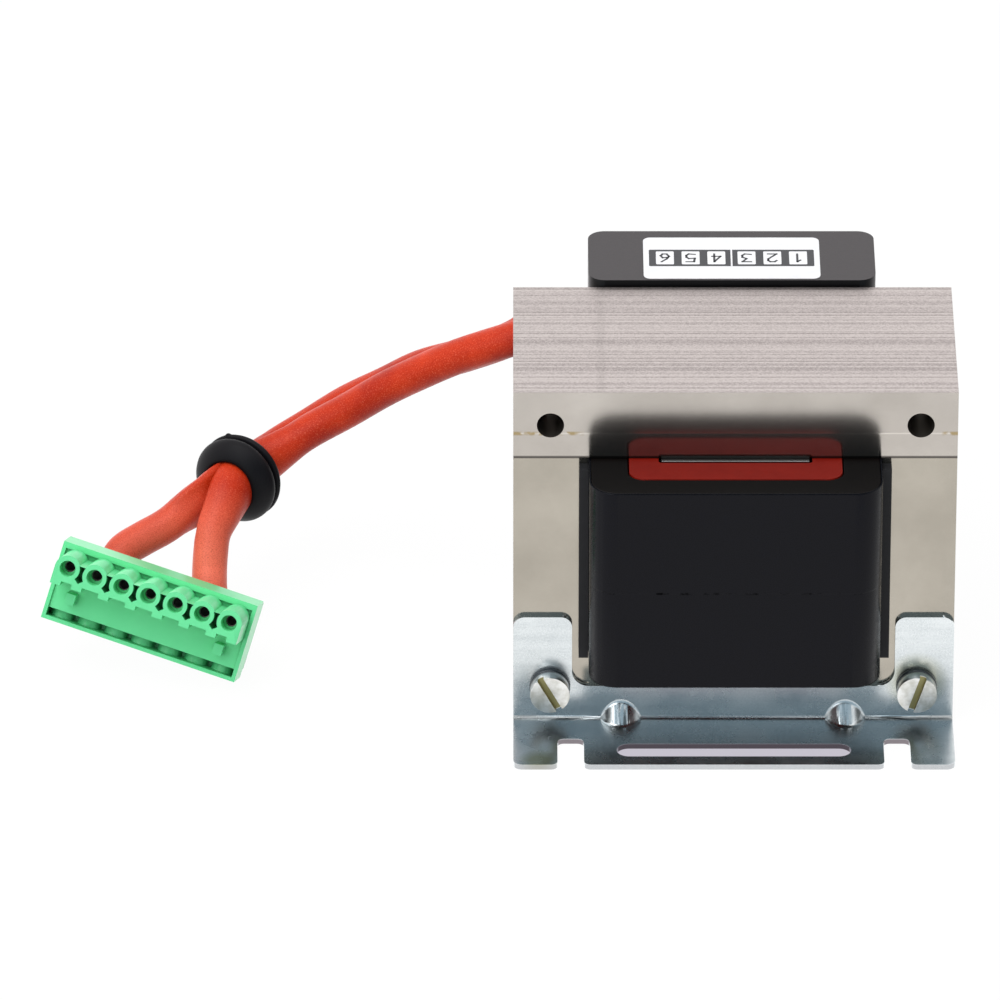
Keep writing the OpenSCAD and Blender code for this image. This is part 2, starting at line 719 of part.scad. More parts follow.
// A wire from the end of a sleeve into a pole of the connector
module lead_wire(route, k, pole) {
    end = route[len(route) - 1];
    down = heading(route, len(route) - 1);
    row = turned([1, 0, 0]);
    start = end + (k - 1) * wire_pitch * unit(row - (row * down) * down);
    entry = on_plug([pole_at(pole), collar_d + rear_d, wire_z]);
    inward = turned([0, -1, 0]);
    path = concat([for (i = [0 : wire_steps])
        curve(start, start + 3 * wire_d * down, entry - 3 * wire_d * inward, entry, i / wire_steps)],
        [entry + wire_in * inward]);
    skin([for (i = [0 : len(path) - 1])
        ring(path[i], i == 0 ? down : heading(path, i), wire_d / 2, 1, wire_sides, row, 1)]);
}

module lead_wires() {
    color([0.88, 0.86, 0.82]) {
        for (k = [0 : 2]) lead_wire(REAR_ROUTE, k, k);
        for (k = [0 : 2]) lead_wire(FRONT_ROUTE, k, k + 4);
    }
}

module grommet() {
    color([0.14, 0.14, 0.15])
    translate(grommet_at) rotate(grommet_turn) translate([0, 0, -grommet_l / 2]) difference() {
        union() {
            cylinder(h = grommet_l - dome_l, d = grommet_d);
            translate([0, 0, grommet_l - dome_l]) cylinder(h = dome_l / 2, d1 = grommet_d, d2 = dome_mid_d);
            translate([0, 0, grommet_l - dome_l / 2]) cylinder(h = dome_l / 2, d1 = dome_mid_d, d2 = dome_rim_d);
        }
        translate([0, 0, -past]) cylinder(h = grommet_l + 2 * past, d = grommet_bore);
        translate([0, 0, grommet_flange_t]) difference() {
            cylinder(h = groove_w, d = grommet_d + past);
            translate([0, 0, -past]) cylinder(h = groove_w + 2 * past, d = grommet_d - 2 * groove_d);
        }
    }
}

module on_connector() {
    translate(plug_at) rotate(plug_turn) children();
}

// Box from one corner to the opposite one
module span(a, b) {
    translate(a) cube(b - a);
}

// Outline of the boss block: round bosses on a bar, with a tab between each two poles
module boss_outline() {
    for (i = [0 : poles - 1]) translate([pole_at(i), boss_z]) circle(boss_r);
    translate([-boss_x, boss_low]) square([2 * boss_x, boss_z - boss_low]);
    translate([-row_x, boss_low]) square([2 * row_x, valley_z - boss_low]);
    for (i = [0 : poles - 2])
        translate([pole_at(i) + pole_pitch / 2 - tab_w / 2, tab_low]) square([tab_w, boss_z - tab_low]);
    for (x = [-boss_x, boss_x - tab_w]) translate([x, tab_low]) square([tab_w, boss_z - tab_low]);
}

// A cavity between two poles that follows the round walls of both, with a pointed foot
module key_outline() {
    foot_z = boss_z - key_low;
    difference() {
        translate([-key_x, foot_z]) square([2 * key_x, key_low + key_high]);
        for (side = [-1, 1]) translate([side * pole_pitch / 2, boss_z]) circle(boss_hole_d / 2 + boss_wall);
    }
    polygon([[-key_x, foot_z], [0, foot_z - key_foot], [key_x, foot_z], [0, foot_z + key_foot]]);
}

module connector_housing() {
    color([0.32, 0.80, 0.48])
    on_connector() difference() {
        union() {
            difference() {
                span([-collar_x, 0, -collar_h / 2], [collar_x, collar_d, collar_h / 2]);
                span([recess_side - collar_x, -past, pocket_z], [collar_x - recess_side, recess_d, collar_h / 2 - lip_h]);
            }
            span([rear_side - collar_x, collar_d - past, rear_z[0]],
                 [collar_x - rear_side, collar_d + rear_d, rear_z[1]]);
            translate([0, recess_d + past, 0]) rotate([90, 0, 0]) linear_extrude(boss_l + recess_d + past) boss_outline();
            for (side = [-1, 1])
                span([side * hook_x - hook_w / 2, -hook_l, hook_z[0]], [side * hook_x + hook_w / 2, past + recess_d, hook_z[1]]);
        }
        difference() {
            span([recess_side - collar_x, 0, pocket_z], [collar_x - recess_side, pocket_d, pocket_z + pocket_h]);
            for (i = [0 : poles - 1])
                translate([pole_at(i), well_y, pocket_z - past]) cylinder(h = pocket_h + 2 * past, r = well_r);
        }
        for (i = [0 : poles - 1]) translate([pole_at(i), 0, 0]) {
            translate([0, 0, boss_z]) {
                bar_y(boss_hole_d, -boss_l - past, mouth_l - boss_l);
                bar_y(pin_hole_d, -boss_l, cage_y[0]);
                bar_y(boss_hole_d, socket_in - contact_gap - boss_l, cage_y[0] + past);
            }
            span([-cage_w / 2 - contact_gap, cage_y[0] - contact_gap, cage_z[0] - contact_gap],
                 [cage_w / 2 + contact_gap, cage_y[1] + contact_gap, cage_z[1] + contact_gap]);
            translate([0, 0, wire_z]) bar_y(entry_d, cage_y[1], collar_d + rear_d + past);
            translate([0, collar_d + rear_d - funnel_l, wire_z]) rotate([-90, 0, 0])
                cylinder(h = funnel_l, d1 = entry_d, d2 = funnel_d);
            translate([0, well_y, -collar_h / 2 - past])
                cylinder(h = collar_h / 2 + cage_z[0] + past, d = pole_screw_d + 2 * contact_gap);
        }
        for (i = [0 : poles - 2]) translate([pole_at(i) + pole_pitch / 2, key_d - boss_l, 0]) rotate([90, 0, 0])
            linear_extrude(key_d + past) key_outline();
    }
}

module connector_contacts() {
    color([0.72, 0.70, 0.62])
    on_connector() for (i = [0 : poles - 1]) translate([pole_at(i), 0, 0]) difference() {
        union() {
            translate([0, 0, boss_z]) bar_y(boss_hole_d - 2 * contact_gap, socket_in - boss_l, cage_y[0] + past);
            span([-cage_w / 2, cage_y[0], cage_z[0]], [cage_w / 2, cage_y[1], cage_z[1]]);
        }
        translate([0, 0, boss_z]) bar_y(socket_bore, -boss_l, cage_y[0] + past);
        translate([0, 0, wire_z]) bar_y(wire_d + 2 * contact_gap, cage_y[1] - 2 * wire_in, cage_y[1] + past);
        translate([0, well_y, cage_z[0] - past]) cylinder(h = wire_z - cage_z[0] + past, d = pole_screw_d);
    }
}

module connector_screws() {
    color([0.70, 0.70, 0.68])
    on_connector() for (i = [0 : poles - 1]) translate([pole_at(i), well_y, 0]) difference() {
        translate([0, 0, pocket_z]) cylinder(h = cage_z[0] + wire_z / 2 - pocket_z, d = pole_screw_d);
        translate([-drive_w / 4, -pole_screw_d, pocket_z - past]) cube([drive_w / 2, 2 * pole_screw_d, drive_d / 2 + past]);
    }
}

core_e_stack();
core_i_stack();
core_wedge();
inner_bobbin();
primary_winding();
outer_bobbin();
secondary_winding();
coil_wrap();
window_liner_left();
window_liner_right();
front_bracket();
rear_bracket();
clamp_screws();
lock_washers();
clamp_nuts();
terminal_board();
solder_tags();
tag_wires();
terminal_cover();
rating_label();
lead_sleeve_front();
lead_sleeve_rear();
lead_wires();
grommet();
connector_housing();
connector_contacts();
connector_screws();
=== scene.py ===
# Transformer with a laminated core on two bent feet, a terminal cover behind the
# upper yoke, and two red sleeved leads that end in a green pluggable connector.
import math

import bpy
from mathutils import Euler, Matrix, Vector


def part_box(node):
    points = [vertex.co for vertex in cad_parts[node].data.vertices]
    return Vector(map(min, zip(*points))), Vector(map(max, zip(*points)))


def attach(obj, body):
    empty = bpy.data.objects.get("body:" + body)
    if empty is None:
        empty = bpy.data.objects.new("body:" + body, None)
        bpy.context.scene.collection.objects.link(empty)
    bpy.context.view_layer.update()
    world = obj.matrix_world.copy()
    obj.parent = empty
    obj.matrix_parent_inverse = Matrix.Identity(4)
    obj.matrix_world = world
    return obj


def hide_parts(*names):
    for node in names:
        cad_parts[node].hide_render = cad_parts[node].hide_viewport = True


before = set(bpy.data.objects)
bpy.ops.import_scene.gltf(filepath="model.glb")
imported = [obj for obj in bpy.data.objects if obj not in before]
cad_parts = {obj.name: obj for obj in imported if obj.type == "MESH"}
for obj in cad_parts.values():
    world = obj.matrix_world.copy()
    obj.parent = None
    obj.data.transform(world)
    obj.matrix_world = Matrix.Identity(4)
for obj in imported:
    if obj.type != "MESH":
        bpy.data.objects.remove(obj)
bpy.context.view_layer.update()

# Studio: a pale floor in a white room, lit by one broad lamp overhead and a weaker
# one high in front. The camera stands where the photograph was taken from. The white
# is overexposed, so mirrors see nearly twice the white that the camera records.
MM = 0.001
scene = bpy.context.scene
scene.view_settings.view_transform = "Standard"
OVEREXPOSED = 1.9


def linear(code):
    """Linear RGBA of an sRGB hex colour such as "c4bab8"."""
    parts = [int(code[i:i + 2], 16) / 255 for i in (0, 2, 4)]
    return [p / 12.92 if p <= 0.04045 else ((p + 0.055) / 1.055) ** 2.4 for p in parts] + [1.0]


def add(tree, kind, values=None, stops=(), **settings):
    """Adds a node with its settings, its inputs set or linked, and a ramp's stops: two ends, then others."""
    node = tree.nodes.new(kind)
    for name, value in settings.items():
        setattr(node, name, value)
    for socket, value in (values or {}).items():
        if isinstance(value, bpy.types.NodeSocket):
            tree.links.new(value, node.inputs[socket])
        else:
            node.inputs[socket].default_value = value
    for k, (position, code) in enumerate(stops):
        stop = node.color_ramp.elements[k] if k < 2 else node.color_ramp.elements.new(position)
        stop.position = position
        stop.color = linear(code)
    return node


def material(name):
    """A new material: itself, its node tree, the object's coordinates and the output."""
    made = bpy.data.materials.new(name)
    made.use_nodes = True
    made.node_tree.nodes.clear()
    tree = made.node_tree
    place = add(tree, "ShaderNodeTexCoord").outputs["Object"]
    return made, tree, place, add(tree, "ShaderNodeOutputMaterial")


def mesh_piece(name, points, faces, smooth=True):
    """A new mesh object in the scene from points in metres."""
    mesh = bpy.data.meshes.new(name)
    mesh.from_pydata([tuple(p) for p in points], [], faces)
    mesh.polygons.foreach_set("use_smooth", [smooth] * len(faces))
    mesh.validate()
    piece = bpy.data.objects.new(name, mesh)
    scene.collection.objects.link(piece)
    return piece


floor = mesh_piece("floor", [(-3, -3, 0), (3, -3, 0), (3, 3, 0), (-3, 3, 0)], [(0, 1, 2, 3)], False)

# White card: matte, with a faint shadow. Most of what is seen of it is plain white,
# as in the overexposed photograph.
CARD_WHITE = 1.04
PLAIN_SHARE = 0.93
card, tree, place, output = material("white_card")
matte = add(tree, "ShaderNodeBsdfDiffuse", {"Color": linear("c6c6c6")})
path = add(tree, "ShaderNodeLightPath")
# Painted shade: the card inside the foot slots, under the coil, is painted dimmer and isn't overexposed
SLOT_Y = 32.3 * MM
SLOT_HALF_X = 21.5 * MM
SLOT_HALF_Y = 2.6 * MM
spot = add(tree, "ShaderNodeVectorMath", {0: place}, operation="ABSOLUTE")
spot = add(tree, "ShaderNodeVectorMath", {0: spot.outputs[0], 1: (0, SLOT_Y, 0)}, operation="SUBTRACT")
spot = add(tree, "ShaderNodeVectorMath", {0: spot.outputs[0]}, operation="ABSOLUTE")
spot = add(tree, "ShaderNodeSeparateXYZ", {0: spot.outputs[0]})
long = add(tree, "ShaderNodeMath", {0: spot.outputs["X"], 1: SLOT_HALF_X}, operation="LESS_THAN")
slot = add(tree, "ShaderNodeMath", {0: spot.outputs["Y"], 1: SLOT_HALF_Y}, operation="LESS_THAN")
slot = add(tree, "ShaderNodeMath", {0: slot.outputs[0], 1: long.outputs[0]}, operation="MULTIPLY")
bare = add(tree, "ShaderNodeMath", {0: 1.0, 1: slot.outputs[0]}, operation="SUBTRACT")
bare = add(tree, "ShaderNodeMath", {0: bare.outputs[0], 1: path.outputs["Is Glossy Ray"]},
           operation="MULTIPLY")
level = add(tree, "ShaderNodeMapRange",
            {"Value": bare.outputs[0], "To Min": CARD_WHITE, "To Max": OVEREXPOSED})
# The colour of the painted shade in the slots
shade = add(tree, "ShaderNodeMix", {0: slot.outputs[0], 6: linear("ffffff"), 7: linear("c4c0cb")},
            data_type="RGBA")
white = add(tree, "ShaderNodeEmission", {"Color": shade.outputs[2], "Strength": level.outputs["Result"]})
seen = add(tree, "ShaderNodeMath", {0: path.outputs["Is Camera Ray"], 1: path.outputs["Is Glossy Ray"]},
           operation="MAXIMUM")
share = add(tree, "ShaderNodeMath", {0: seen.outputs[0], 1: PLAIN_SHARE}, operation="MULTIPLY")
mixed = add(tree, "ShaderNodeMixShader", {0: share.outputs[0], 1: matte.outputs[0], 2: white.outputs[0]})
tree.links.new(mixed.outputs[0], output.inputs["Surface"])
floor.data.materials.append(card)

# White surround: plain white to the camera, weaker as fill light, and in mirrors dimmer
# and bluish towards the front, where the camera stands.
ROOM_FILL = 0.55
world = bpy.data.worlds.new("white_surround")
world.use_nodes = True
tree = world.node_tree
tree.nodes.clear()
path = add(tree, "ShaderNodeLightPath")
level = add(tree, "ShaderNodeMapRange",
            {"Value": path.outputs["Is Camera Ray"], "To Min": ROOM_FILL, "To Max": 1.0})
level = add(tree, "ShaderNodeMix",
            {0: path.outputs["Is Glossy Ray"], 2: level.outputs["Result"], 3: OVEREXPOSED}, data_type="FLOAT")
heading = add(tree, "ShaderNodeSeparateXYZ", {0: add(tree, "ShaderNodeTexCoord").outputs["Generated"]})
dim = add(tree, "ShaderNodeMapRange", {"Value": heading.outputs["Y"], "From Min": -0.2, "From Max": -0.65})
dim = add(tree, "ShaderNodeMath", {0: dim.outputs["Result"], 1: path.outputs["Is Glossy Ray"]},
          operation="MULTIPLY")
room = add(tree, "ShaderNodeMix", {0: dim.outputs[0], 6: linear("ffffff"), 7: linear("8fa3af")},
           data_type="RGBA")
sky = add(tree, "ShaderNodeBackground", {"Color": room.outputs[2], "Strength": level.outputs[0]})
add(tree, "ShaderNodeOutputWorld", {"Surface": sky.outputs[0]})
scene.world = world

# Lamps and camera: two broad soft lamps and a long lens, all aimed at the middle of the picture.
AIM = Vector((-41.35, 0, 33.76)) * MM
for name, place, size, power in (("overhead_lamp", (-0.35, -0.25, 1.1), 0.9, 8.0),
                                 ("front_lamp", (-0.75, -0.9, 0.8), 0.8, 6.0)):
    lamp = bpy.data.objects.new(name, bpy.data.lights.new(name, "AREA"))
    lamp.data.size = size
    lamp.data.energy = power
    lamp.location = place
    lamp.rotation_euler = (AIM - Vector(place)).to_track_quat("-Z", "Y").to_euler()
    scene.collection.objects.link(lamp)

CAMERA_DISTANCE = 2.137
CAMERA_ELEVATION = math.radians(28.51)
camera = bpy.data.objects.new("camera", bpy.data.cameras.new("camera"))
camera.data.sensor_width = 36
camera.data.lens = 432.6
camera.data.clip_end = 20
camera.location = AIM + CAMERA_DISTANCE * Vector((0, -math.cos(CAMERA_ELEVATION), math.sin(CAMERA_ELEVATION)))
camera.rotation_euler = (math.pi / 2 - CAMERA_ELEVATION, 0, 0)
scene.collection.objects.link(camera)
scene.camera = camera

# Core: stacks of punched E and I sheets of silicon steel, half a millimetre thick,
# laid face to face, with the I stack across the open ends of the E stack. The cut
# edges of the sheets show on top and at the sides, and one whole sheet in front.
SHEET = 0.5 * MM


def dress(names, finish, edge_mm=0.0, steps=2):
    """Gives CAD nodes a finish and, where asked, edges rounded by that many millimetres."""
    for name in names:
        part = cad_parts[name]
        part.data.materials.clear()
        part.data.materials.append(finish)
        if edge_mm:
            weld = part.modifiers.new("weld", "WELD")
            weld.merge_threshold = 0.001 * MM
            edge = part.modifiers.new("edge", "BEVEL")
            edge.width = edge_mm * MM
            edge.segments = steps
            edge.limit_method = "ANGLE"
            edge.angle_limit = math.radians(35)
            edge.harden_normals = True


# Silicon steel sheet, punched: bright rolled faces under thin varnish that mirror what
# stands close to them, and cut edges in fine lines, each sheet a little lighter or
# darker than the next.
steel, tree, place, output = material("silicon_steel_sheet_varnished")
along = add(tree, "ShaderNodeSeparateXYZ", {0: place})
facing = add(tree, "ShaderNodeSeparateXYZ", {0: add(tree, "ShaderNodeNewGeometry").outputs["Normal"]})
front = add(tree, "ShaderNodeMath", {0: facing.outputs["Y"]}, operation="ABSOLUTE")
front = add(tree, "ShaderNodeMath", {0: front.outputs[0], 1: 0.7}, operation="GREATER_THAN")
# Each sheet has its own shade, and a thin dark gap follows each one, wider after a few
sheet = add(tree, "ShaderNodeMath", {0: along.outputs["Y"], 1: SHEET}, operation="DIVIDE")
number = add(tree, "ShaderNodeMath", {0: sheet.outputs[0]}, operation="FLOOR")
shade = add(tree, "ShaderNodeTexWhiteNoise", {"W": number.outputs[0]}, noise_dimensions="1D")
within = add(tree, "ShaderNodeMath", {0: sheet.outputs[0]}, operation="FRACT")
loose = add(tree, "ShaderNodeMapRange", {"Value": shade.outputs["Value"], "From Min": 0.9, "From Max": 0.93,
                                         "To Min": 0.3, "To Max": 0.6})
gap = add(tree, "ShaderNodeMapRange", {"Value": within.outputs[0], "From Min": 0.25, "From Max": 0.5,
                                       "To Min": loose.outputs["Result"], "To Max": 0.0})
# Burrs of a third of a millimetre along the cut edges
burr = add(tree, "ShaderNodeMapping",
           {"Vector": place, "Scale": (1 / (0.35 * MM), 1 / (0.3 * MM), 1 / (0.35 * MM))})
burr = add(tree, "ShaderNodeTexNoise",
           {"Vector": burr.outputs[0], "Scale": 1.0, "Detail": 3.0, "Roughness": 0.7})
burr = add(tree, "ShaderNodeMapRange", {"Value": burr.outputs["Fac"], "From Min": 0.35, "From Max": 0.65})
lines = add(tree, "ShaderNodeMix", {0: 0.5, 2: shade.outputs["Value"], 3: burr.outputs["Result"]},
            data_type="FLOAT")
edges = add(tree, "ShaderNodeValToRGB", {0: lines.outputs[0]},
            stops=((0.16, "807876"), (0.75, "aaa29f"), (0.32, "918987")))
edges = add(tree, "ShaderNodeMix", {0: gap.outputs["Result"], 6: edges.outputs[0], 7: linear("5a5351")},
            data_type="RGBA")
# A faint stripe, a millimetre and a half wide, where the punch left its mark across the stack
PUNCH_X = -23.6 * MM
stripe = add(tree, "ShaderNodeMath", {0: along.outputs["X"], 1: PUNCH_X}, operation="SUBTRACT")
stripe = add(tree, "ShaderNodeMath", {0: stripe.outputs[0]}, operation="ABSOLUTE")
stripe = add(tree, "ShaderNodeMapRange",
             {"Value": stripe.outputs[0], "From Min": 0.4 * MM, "From Max": 1.1 * MM,
              "To Min": 0.1, "To Max": 0.0})
edges = add(tree, "ShaderNodeMix", {0: stripe.outputs["Result"], 6: edges.outputs[2], 7: linear("45403c")},
            data_type="RGBA")
# A dark seam over half a millimetre high at the I/E joint: the joint plus painted shadow of the I stack's
# step
JOINT_Z = 53 * MM
seam = add(tree, "ShaderNodeMath", {0: along.outputs["Z"], 1: JOINT_Z + 0.15 * MM}, operation="SUBTRACT")
seam = add(tree, "ShaderNodeMath", {0: seam.outputs[0]}, operation="ABSOLUTE")
seam = add(tree, "ShaderNodeMapRange", {"Value": seam.outputs[0], "From Min": 0.15 * MM, "From Max": 0.4 * MM,
                                        "To Min": 0.85, "To Max": 0.0})
# Painted shade: the walls of the two open holes lie in the dark and are painted one plain grey
OPEN_HOLE = Vector((32.5, 0, 59.5)) * MM
OPEN_HOLE_R = 2.5 * MM
hole = add(tree, "ShaderNodeMath", {0: along.outputs["X"]}, operation="ABSOLUTE")
hole = add(tree, "ShaderNodeCombineXYZ", {"X": hole.outputs[0], "Z": along.outputs["Z"]})
hole = add(tree, "ShaderNodeVectorMath", {0: hole.outputs[0], 1: OPEN_HOLE}, operation="DISTANCE")
hole = add(tree, "ShaderNodeMath", {0: hole.outputs["Value"], 1: OPEN_HOLE_R}, operation="LESS_THAN")
edges = add(tree, "ShaderNodeMix", {0: hole.outputs[0], 6: edges.outputs[2], 7: linear("8a837b")},
            data_type="RGBA")
# Clouds in the varnish, about seventeen millimetres across
cloud = add(tree, "ShaderNodeTexNoise", {"Vector": place, "Scale": 1 / (16.7 * MM), "Detail": 6.0,
                                         "Roughness": 0.6})
face = add(tree, "ShaderNodeValToRGB", {0: cloud.outputs["Fac"]}, stops=((0.35, "938e88"), (0.7, "a09b95")))
# On the I sheet the varnish ends in a line five millimetres above the joint
VARNISH_Z = 57.9 * MM
level = add(tree, "ShaderNodeMath", {0: along.outputs["Z"], 1: VARNISH_Z}, operation="SUBTRACT")
above = add(tree, "ShaderNodeMapRange",
            {"Value": level.outputs[0], "From Min": -0.05 * MM, "From Max": 0.05 * MM})
level = add(tree, "ShaderNodeMath", {0: level.outputs[0]}, operation="ABSOLUTE")
# The thin lighter line along the varnish edge is a painted highlight
brim = add(tree, "ShaderNodeMapRange",
           {"Value": level.outputs[0], "From Min": 0.08 * MM, "From Max": 0.2 * MM,
            "To Min": 0.55, "To Max": 0.0})
face = add(tree, "ShaderNodeMix", {0: brim.outputs["Result"], 6: face.outputs[0], 7: linear("b5b0a9")},
           data_type="RGBA")
# A run of amber varnish along that line, near the left hole and at the right end, in
# blots of a millimetre and a half
run = add(tree, "ShaderNodeMapRange", {"Value": level.outputs[0], "From Min": 0.15 * MM, "From Max": 0.5 * MM,
                                       "To Min": 0.8, "To Max": 0.0})
near = add(tree, "ShaderNodeMapRange",
           {"Value": along.outputs["X"], "From Min": -27.5 * MM, "From Max": -26.5 * MM,
            "To Min": 1.0, "To Max": 0.0})
end = add(tree, "ShaderNodeMapRange",
          {"Value": along.outputs["X"], "From Min": 36 * MM, "From Max": 36.5 * MM})
near = add(tree, "ShaderNodeMath", {0: near.outputs["Result"], 1: end.outputs["Result"]}, operation="MAXIMUM")
patch = add(tree, "ShaderNodeTexNoise", {"Vector": place, "Scale": 1 / (1.43 * MM), "Detail": 3.0})
patch = add(tree, "ShaderNodeMapRange", {"Value": patch.outputs["Fac"], "From Min": 0.42, "From Max": 0.55})
run = add(tree, "ShaderNodeMath", {0: run.outputs["Result"], 1: near.outputs[0]}, operation="MULTIPLY")
run = add(tree, "ShaderNodeMath", {0: run.outputs[0], 1: patch.outputs["Result"]}, operation="MULTIPLY")
face = add(tree, "ShaderNodeMix", {0: run.outputs[0], 6: face.outputs[2], 7: linear("7d6a3c")},
           data_type="RGBA")
# Painted shade: the E sheet is painted a little darker and warmer than the I sheet, shaded by the coil
below = add(tree, "ShaderNodeMath", {0: along.outputs["Z"], 1: JOINT_Z}, operation="LESS_THAN")
face = add(tree, "ShaderNodeMix", {0: below.outputs[0], 6: face.outputs[2], 7: linear("eeede6")},
           data_type="RGBA", blend_type="MULTIPLY")
tone = add(tree, "ShaderNodeMix", {0: front.outputs[0], 6: edges.outputs[2], 7: face.outputs[2]},
           data_type="RGBA")
tone = add(tree, "ShaderNodeMix", {0: seam.outputs["Result"], 6: tone.outputs[2], 7: linear("2e2a28")},
           data_type="RGBA")
gloss = add(tree, "ShaderNodeMapRange", {"Value": above.outputs["Result"], "To Min": 0.12, "To Max": 0.19})
rough = add(tree, "ShaderNodeMix", {0: front.outputs[0], 2: 0.42, 3: gloss.outputs["Result"]},
            data_type="FLOAT")
# Above the varnish line the sheet leans forward by three degrees
LEAN = 0.055
lean = add(tree, "ShaderNodeMath", {0: above.outputs["Result"], 1: front.outputs[0]}, operation="MULTIPLY")
lean = add(tree, "ShaderNodeMath", {0: lean.outputs[0], 1: -LEAN}, operation="MULTIPLY")
lean = add(tree, "ShaderNodeCombineXYZ", {"Z": lean.outputs[0]})
lean = add(tree, "ShaderNodeVectorMath", {0: add(tree, "ShaderNodeNewGeometry").outputs["Normal"],
                                          1: lean.outputs[0]}, operation="ADD")
lean = add(tree, "ShaderNodeVectorMath", {0: lean.outputs[0]}, operation="NORMALIZE")
grooves = add(tree, "ShaderNodeMath", {0: 1.0, 1: front.outputs[0]}, operation="SUBTRACT")
bump = add(tree, "ShaderNodeBump", {"Strength": grooves.outputs[0], "Distance": 0.015 * MM,
                                    "Height": lines.outputs[0], "Normal": lean.outputs[0]})
skin = add(tree, "ShaderNodeBsdfPrincipled", {"Base Color": tone.outputs[2], "Metallic": 1.0,
                                              "Roughness": rough.outputs[0], "Normal": bump.outputs[0]})
# The varnish scatters a part of the reflection widely
veil = add(tree, "ShaderNodeBsdfPrincipled",
           {"Base Color": tone.outputs[2], "Metallic": 1.0, "Roughness": 0.45, "Normal": bump.outputs[0]})
both = add(tree, "ShaderNodeMixShader", {0: 0.1, 1: skin.outputs[0], 2: veil.outputs[0]})
tree.links.new(both.outputs[0], output.inputs["Surface"])
dress(["core_e_stack", "core_i_stack"], steel)

# Wedge: a strip of rolled steel pushed in front of the centre leg to hold the coil. Fine
# rolling lines, about a millimetre apart, run along it.
strip, tree, place, output = material("rolled_steel_strip")
grain = add(tree, "ShaderNodeMapping",
            {"Vector": place, "Scale": (1 / (16.7 * MM), 1 / (16.7 * MM), 1 / (1.11 * MM))})
grain = add(tree, "ShaderNodeTexNoise", {"Vector": grain.outputs[0], "Scale": 1.0, "Detail": 3.0})
tone = add(tree, "ShaderNodeValToRGB", {0: grain.outputs["Fac"]}, stops=((0, "6b6764"), (1, "9e9a97")))
skin = add(tree, "ShaderNodeBsdfPrincipled",
           {"Base Color": tone.outputs[0], "Metallic": 1.0, "Roughness": 0.35})
tree.links.new(skin.outputs[0], output.inputs["Surface"])
dress(["core_wedge"], strip, 0.1)

# Bobbins and windings: a red glass-filled bobbin carries the inner winding and sits
# inside a black one that carries the outer winding. Only the flanges show, dull and
# with flow marks of about three millimetres.
BOBBINS = (("inner_bobbin", "glass_filled_nylon_red", "6b1108", "7e180c", 0.13),
           ("outer_bobbin", "glass_filled_nylon_black", "080504", "0c0807", 0.07))
for slot, name, dark, light, shine in BOBBINS:
    nylon, tree, place, output = material(name)
    flow = add(tree, "ShaderNodeTexNoise", {"Vector": place, "Scale": 1 / (2.86 * MM), "Detail": 4.0})
    tone = add(tree, "ShaderNodeValToRGB", {0: flow.outputs["Fac"]}, stops=((0, dark), (1, light)))
    bump = add(tree, "ShaderNodeBump",
               {"Strength": 0.3, "Distance": 0.02 * MM, "Height": flow.outputs["Fac"]})
    skin = add(tree, "ShaderNodeBsdfPrincipled",
               {"Base Color": tone.outputs[0], "Roughness": 0.42, "IOR": 1.53,
                "Specular IOR Level": shine, "Normal": bump.outputs[0]})
    tree.links.new(skin.outputs[0], output.inputs["Surface"])
    dress([slot], nylon, 0.25)

# Enamelled copper wire: turns half a millimetre apart that lie around the coil
copper, tree, place, output = material("enamelled_copper_wire")
turns = add(tree, "ShaderNodeTexWave", {"Vector": place, "Scale": 1 / (20 * 0.5 * MM)}, bands_direction="Z")
tone = add(tree, "ShaderNodeValToRGB", {0: turns.outputs["Fac"]}, stops=((0, "5a2412"), (1, "b8682f")))
skin = add(tree, "ShaderNodeBsdfPrincipled",
           {"Base Color": tone.outputs[0], "Metallic": 0.8, "Roughness": 0.35})
tree.links.new(skin.outputs[0], output.inputs["Surface"])
dress(["primary_winding", "secondary_winding"], copper)

# Coil wrap: turns of black polyester film around the whole coil, drawn tight over
# the flanges. The last turn is stuck down along a seam across the front. The film is
# satin, with long shallow waves and a dust of a millimetre.
wrap, tree, place, output = material("polyester_film_black_wound")
along = add(tree, "ShaderNodeSeparateXYZ", {0: place})
slack = add(tree, "ShaderNodeMapping",
            {"Vector": place, "Scale": (1 / (22.2 * MM), 1 / (22.2 * MM), 1 / (55.6 * MM))})
slack = add(tree, "ShaderNodeTexNoise", {"Vector": slack.outputs[0], "Scale": 1.0, "Detail": 2.0})
dust = add(tree, "ShaderNodeTexNoise", {"Vector": place, "Scale": 1 / (1.11 * MM), "Detail": 2.0})
haze = add(tree, "ShaderNodeMapRange", {"Value": dust.outputs["Fac"], "From Min": 0.4, "From Max": 0.8,
                                        "To Min": 0.24, "To Max": 0.4})
# Flecks along the seam, two millimetres long and up to three tenths above and below it
SEAM_Z = 33 * MM
seam = add(tree, "ShaderNodeMath", {0: along.outputs["Z"], 1: SEAM_Z}, operation="SUBTRACT")
step = add(tree, "ShaderNodeMapRange",
           {"Value": seam.outputs[0], "From Min": -0.1 * MM, "From Max": 0.1 * MM})
seam = add(tree, "ShaderNodeMath", {0: seam.outputs[0]}, operation="ABSOLUTE")
seam = add(tree, "ShaderNodeMapRange", {"Value": seam.outputs[0], "From Min": 0.1 * MM, "From Max": 0.3 * MM,
                                        "To Min": 1.0, "To Max": 0.0})
fleck = add(tree, "ShaderNodeTexNoise",
            {"Vector": place, "Scale": 1 / (2.38 * MM), "Detail": 4.0, "Roughness": 0.7})
fleck = add(tree, "ShaderNodeMapRange", {"Value": fleck.outputs["Fac"], "From Min": 0.52, "From Max": 0.68})
fleck = add(tree, "ShaderNodeMath", {0: fleck.outputs["Result"], 1: seam.outputs["Result"]},
            operation="MULTIPLY")
tone = add(tree, "ShaderNodeMix", {0: dust.outputs["Fac"], 6: linear("09090f"), 7: linear("0d0d13")},
           data_type="RGBA")
height = add(tree, "ShaderNodeMath", {0: step.outputs["Result"], 1: 0.4}, operation="MULTIPLY")
